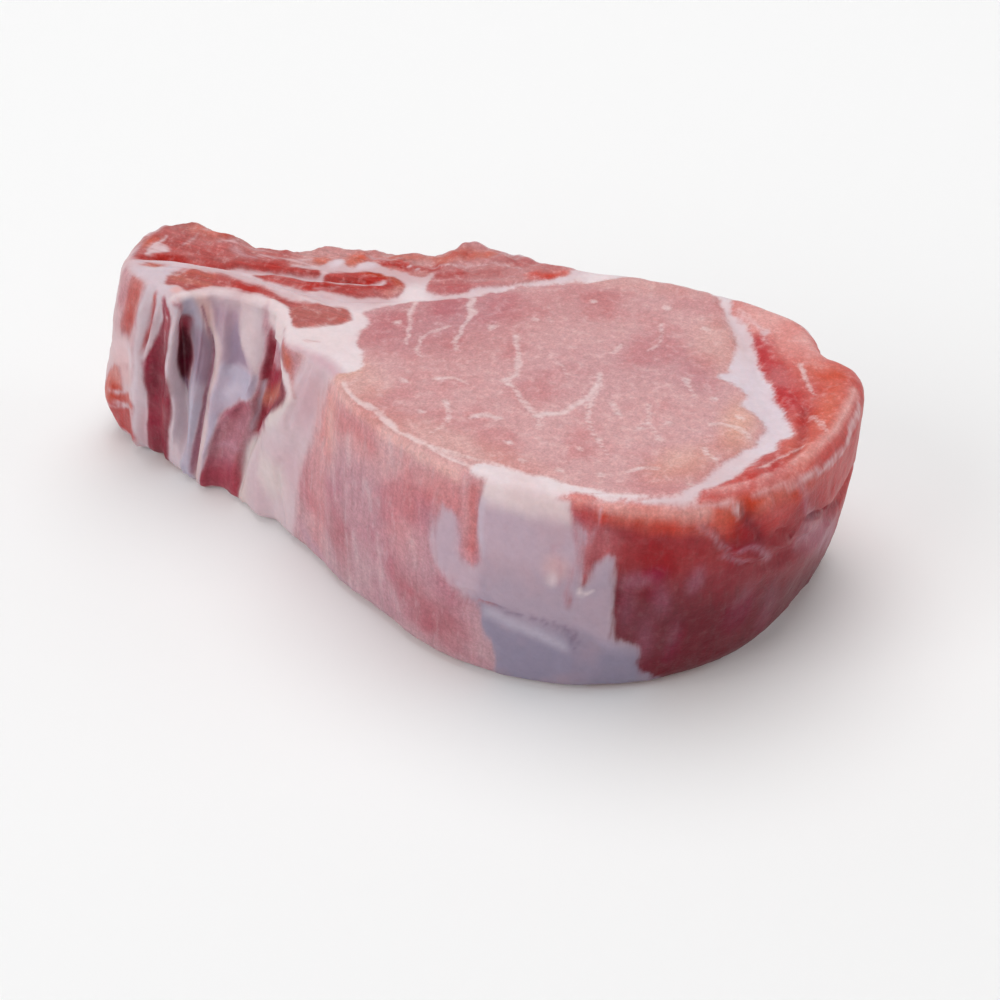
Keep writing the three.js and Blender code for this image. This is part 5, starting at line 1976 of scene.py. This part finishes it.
    @staticmethod
    def with_midpoints(corners: tuple[int, ...], columns: int) -> tuple[int, ...]:
        """Adds the wall's points that lie between a bottom cell's corners.

        Args:
            corners: The cell's corners in order.
            columns: How many columns the wall has.

        Returns:
            The corners, with any points between them.
        """
        made: list[int] = []
        for first, second in zip(corners, corners[1:] + corners[:1]):
            made.append(int(first))
            if first < columns and second < columns:
                gap = (second - first) % columns
                if gap == 2:
                    made.append(int((first + 1) % columns))
                elif gap == columns - 2:
                    made.append(int((first - 1) % columns))
        return tuple(made)

    def dress(
        self, points: Array, faces: list[tuple[int, ...]], tissue: Tissue, run: Array, upright: Array
    ) -> bpy.types.Object:
        """Makes the object, gives its points their values, and puts it in place.

        Args:
            points: The points in millimetres.
            faces: The corners of each face.
            tissue: The tissue at each point.
            run: Girth and height of the wall's points.
            upright: The share of wall at each point.

        Returns:
            The object.
        """
        low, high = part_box("chop")
        centre = (low + high) / 2
        shift = np.array([centre.x, centre.y, 0.0]) + np.array([*PLAN_SHIFT, 0.0]) * MM
        mesh = bpy.data.meshes.new(self.name)
        mesh.from_pydata((points * MM + shift).tolist(), [], faces)
        mesh.validate()
        solid = np.ones(len(points))
        self.store(mesh, "lean", "FLOAT_COLOR", np.column_stack([tissue.lean, solid]))
        self.store(mesh, "pale", "FLOAT_COLOR", np.column_stack([tissue.pale, solid]))
        self.store(mesh, "fat", "FLOAT", tissue.fat)
        thread = np.clip(tissue.thread, -self.thread_depth, self.thread_depth)
        self.store(mesh, "thread", "FLOAT", thread)
        self.store(mesh, "side", "FLOAT", upright)
        tail = (1 - smoothstep(points[:, 0], *self.strand_end)) * (1 - upright)
        self.store(mesh, "strand", "FLOAT", tail)
        self.store(mesh, "run", "FLOAT_VECTOR", run)
        mesh.shade_smooth()
        mesh.materials.append(self.finish.material())
        piece = bpy.data.objects.new(self.name, mesh)
        bpy.context.scene.collection.objects.link(piece)
        return piece

    @staticmethod
    def store(mesh: bpy.types.Mesh, name: str, kind: str, values: Array) -> None:
        """Stores a value at each point of a mesh.

        Args:
            mesh: The mesh.
            name: The value's name.
            kind: The value's type.
            values: One value or row for each point.
        """
        attribute = mesh.attributes.new(name, kind, "POINT")
        key = {"FLOAT": "value", "FLOAT_VECTOR": "vector", "FLOAT_COLOR": "color"}[kind]
        attribute.data.foreach_set(key, values.astype(np.float32).ravel())


@dataclass
class Studio:
    """The pale floor that curves up into a backdrop, the lamps and the camera, in metres."""

    floor_radius: float = 1.7
    curve_radius: float = 0.6
    curve_steps: int = 12
    wall_height: float = 1.4
    around: int = 72
    floor_level: tuple[float, float, float] = (0.92, 0.92, 0.92)
    world_strength: float = 0.36
    lamp_aim: tuple[float, float, float] = (0.0, 0.0, 0.02)
    lens: float = 100.0
    sensor: float = 36.0
    camera_elevation: float = 38.0
    camera_turn: float = 24.4
    camera_distance: float = 0.6039
    camera_target: tuple[float, float, float] = (0.00657, 0.01157, 0.0)

    def backdrop(self) -> bpy.types.Object:
        """Builds the floor and the backdrop in one round sweep.

        Returns:
            The object.
        """
        profile = [(self.floor_radius * 0.3, 0.0), (self.floor_radius, 0.0)]
        for step in range(1, self.curve_steps + 1):
            angle = math.pi / 2 * step / self.curve_steps
            radius = self.floor_radius + self.curve_radius * math.sin(angle)
            profile.append((radius, self.curve_radius * (1 - math.cos(angle))))
        profile.append((profile[-1][0], self.wall_height))
        points = [(0.0, 0.0, 0.0)]
        faces: list[tuple[int, ...]] = []
        for ring, (radius, level) in enumerate(profile):
            first = 1 + ring * self.around
            before = first - self.around
            for step in range(self.around):
                angle = 2 * math.pi * step / self.around
                points.append((radius * math.cos(angle), radius * math.sin(angle), level))
                after = (step + 1) % self.around
                if ring == 0:
                    faces.append((0, first + step, first + after))
                else:
                    faces.append((before + step, first + step, first + after, before + after))
        mesh = bpy.data.meshes.new("backdrop")
        mesh.from_pydata(points, [], faces)
        mesh.shade_smooth()
        mesh.materials.append(self.paper())
        piece = bpy.data.objects.new("backdrop", mesh)
        bpy.context.scene.collection.objects.link(piece)
        return piece

    def paper(self) -> bpy.types.Material:
        """Makes the matt pale finish of the backdrop."""
        colour = (*self.floor_level, 1.0)
        finish = {"Base Color": colour, "Roughness": 0.9, "Specular IOR Level": 0.1}
        return Wiring("pale_paper").surfaced(finish)

    def lamp(self, kind: Lamp) -> bpy.types.Object:
        """Hangs one soft lamp.

        Args:
            kind: Which lamp.

        Returns:
            The lamp.
        """
        place, size, power = kind.value
        data = bpy.data.lights.new(f"{kind.name.lower()}_lamp", "AREA")
        data.shape = "DISK"
        data.size = size
        data.energy = power
        lamp = bpy.data.objects.new(data.name, data)
        lamp.location = place
        aim = Vector(self.lamp_aim) - Vector(place)
        lamp.rotation_euler = aim.to_track_quat("-Z", "Y").to_euler()
        bpy.context.scene.collection.objects.link(lamp)
        return lamp

    def sky(self) -> None:
        """Fills the room with even white light."""
        world = bpy.data.worlds.new("soft_room")
        world.use_nodes = True
        ground = world.node_tree.nodes["Background"]
        ground.inputs["Color"].default_value = (1.0, 1.0, 1.0, 1.0)
        ground.inputs["Strength"].default_value = self.world_strength
        bpy.context.scene.world = world

    def camera(self) -> bpy.types.Object:
        """Sets up the camera.

        Returns:
            The camera.
        """
        turn, rise = math.radians(self.camera_turn), math.radians(self.camera_elevation)
        back = Vector((math.sin(turn) * math.cos(rise), -math.cos(turn) * math.cos(rise), math.sin(rise)))
        data = bpy.data.cameras.new("camera")
        data.lens = self.lens
        data.sensor_width = self.sensor
        data.clip_start = 0.01
        data.clip_end = 20.0
        camera = bpy.data.objects.new("camera", data)
        camera.location = Vector(self.camera_target) + back * self.camera_distance
        camera.rotation_euler = (-back).to_track_quat("-Z", "Y").to_euler()
        bpy.context.scene.collection.objects.link(camera)
        bpy.context.scene.camera = camera
        return camera


def main() -> None:
    """Loads the frame, builds the chop and the studio, and reports each."""
    logging.basicConfig(level=logging.INFO, format="%(message)s")
    log = logging.getLogger("chop")
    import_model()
    studio = Studio()
    studio.camera()
    studio.sky()
    for kind in Lamp:
        log.info("lamp %s", studio.lamp(kind).name)
    backdrop = studio.backdrop()
    log.info("backdrop with %d points", len(backdrop.data.vertices))
    meat = Chop().build()
    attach(meat, "root")
    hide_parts("chop")
    triangles = sum(len(face.vertices) - 2 for face in meat.data.polygons)
    log.info("%s with %d points and %d triangles", meat.name, len(meat.data.vertices), triangles)
    bpy.context.scene.view_settings.view_transform = "Standard"


if __name__ == "__main__":
    main()
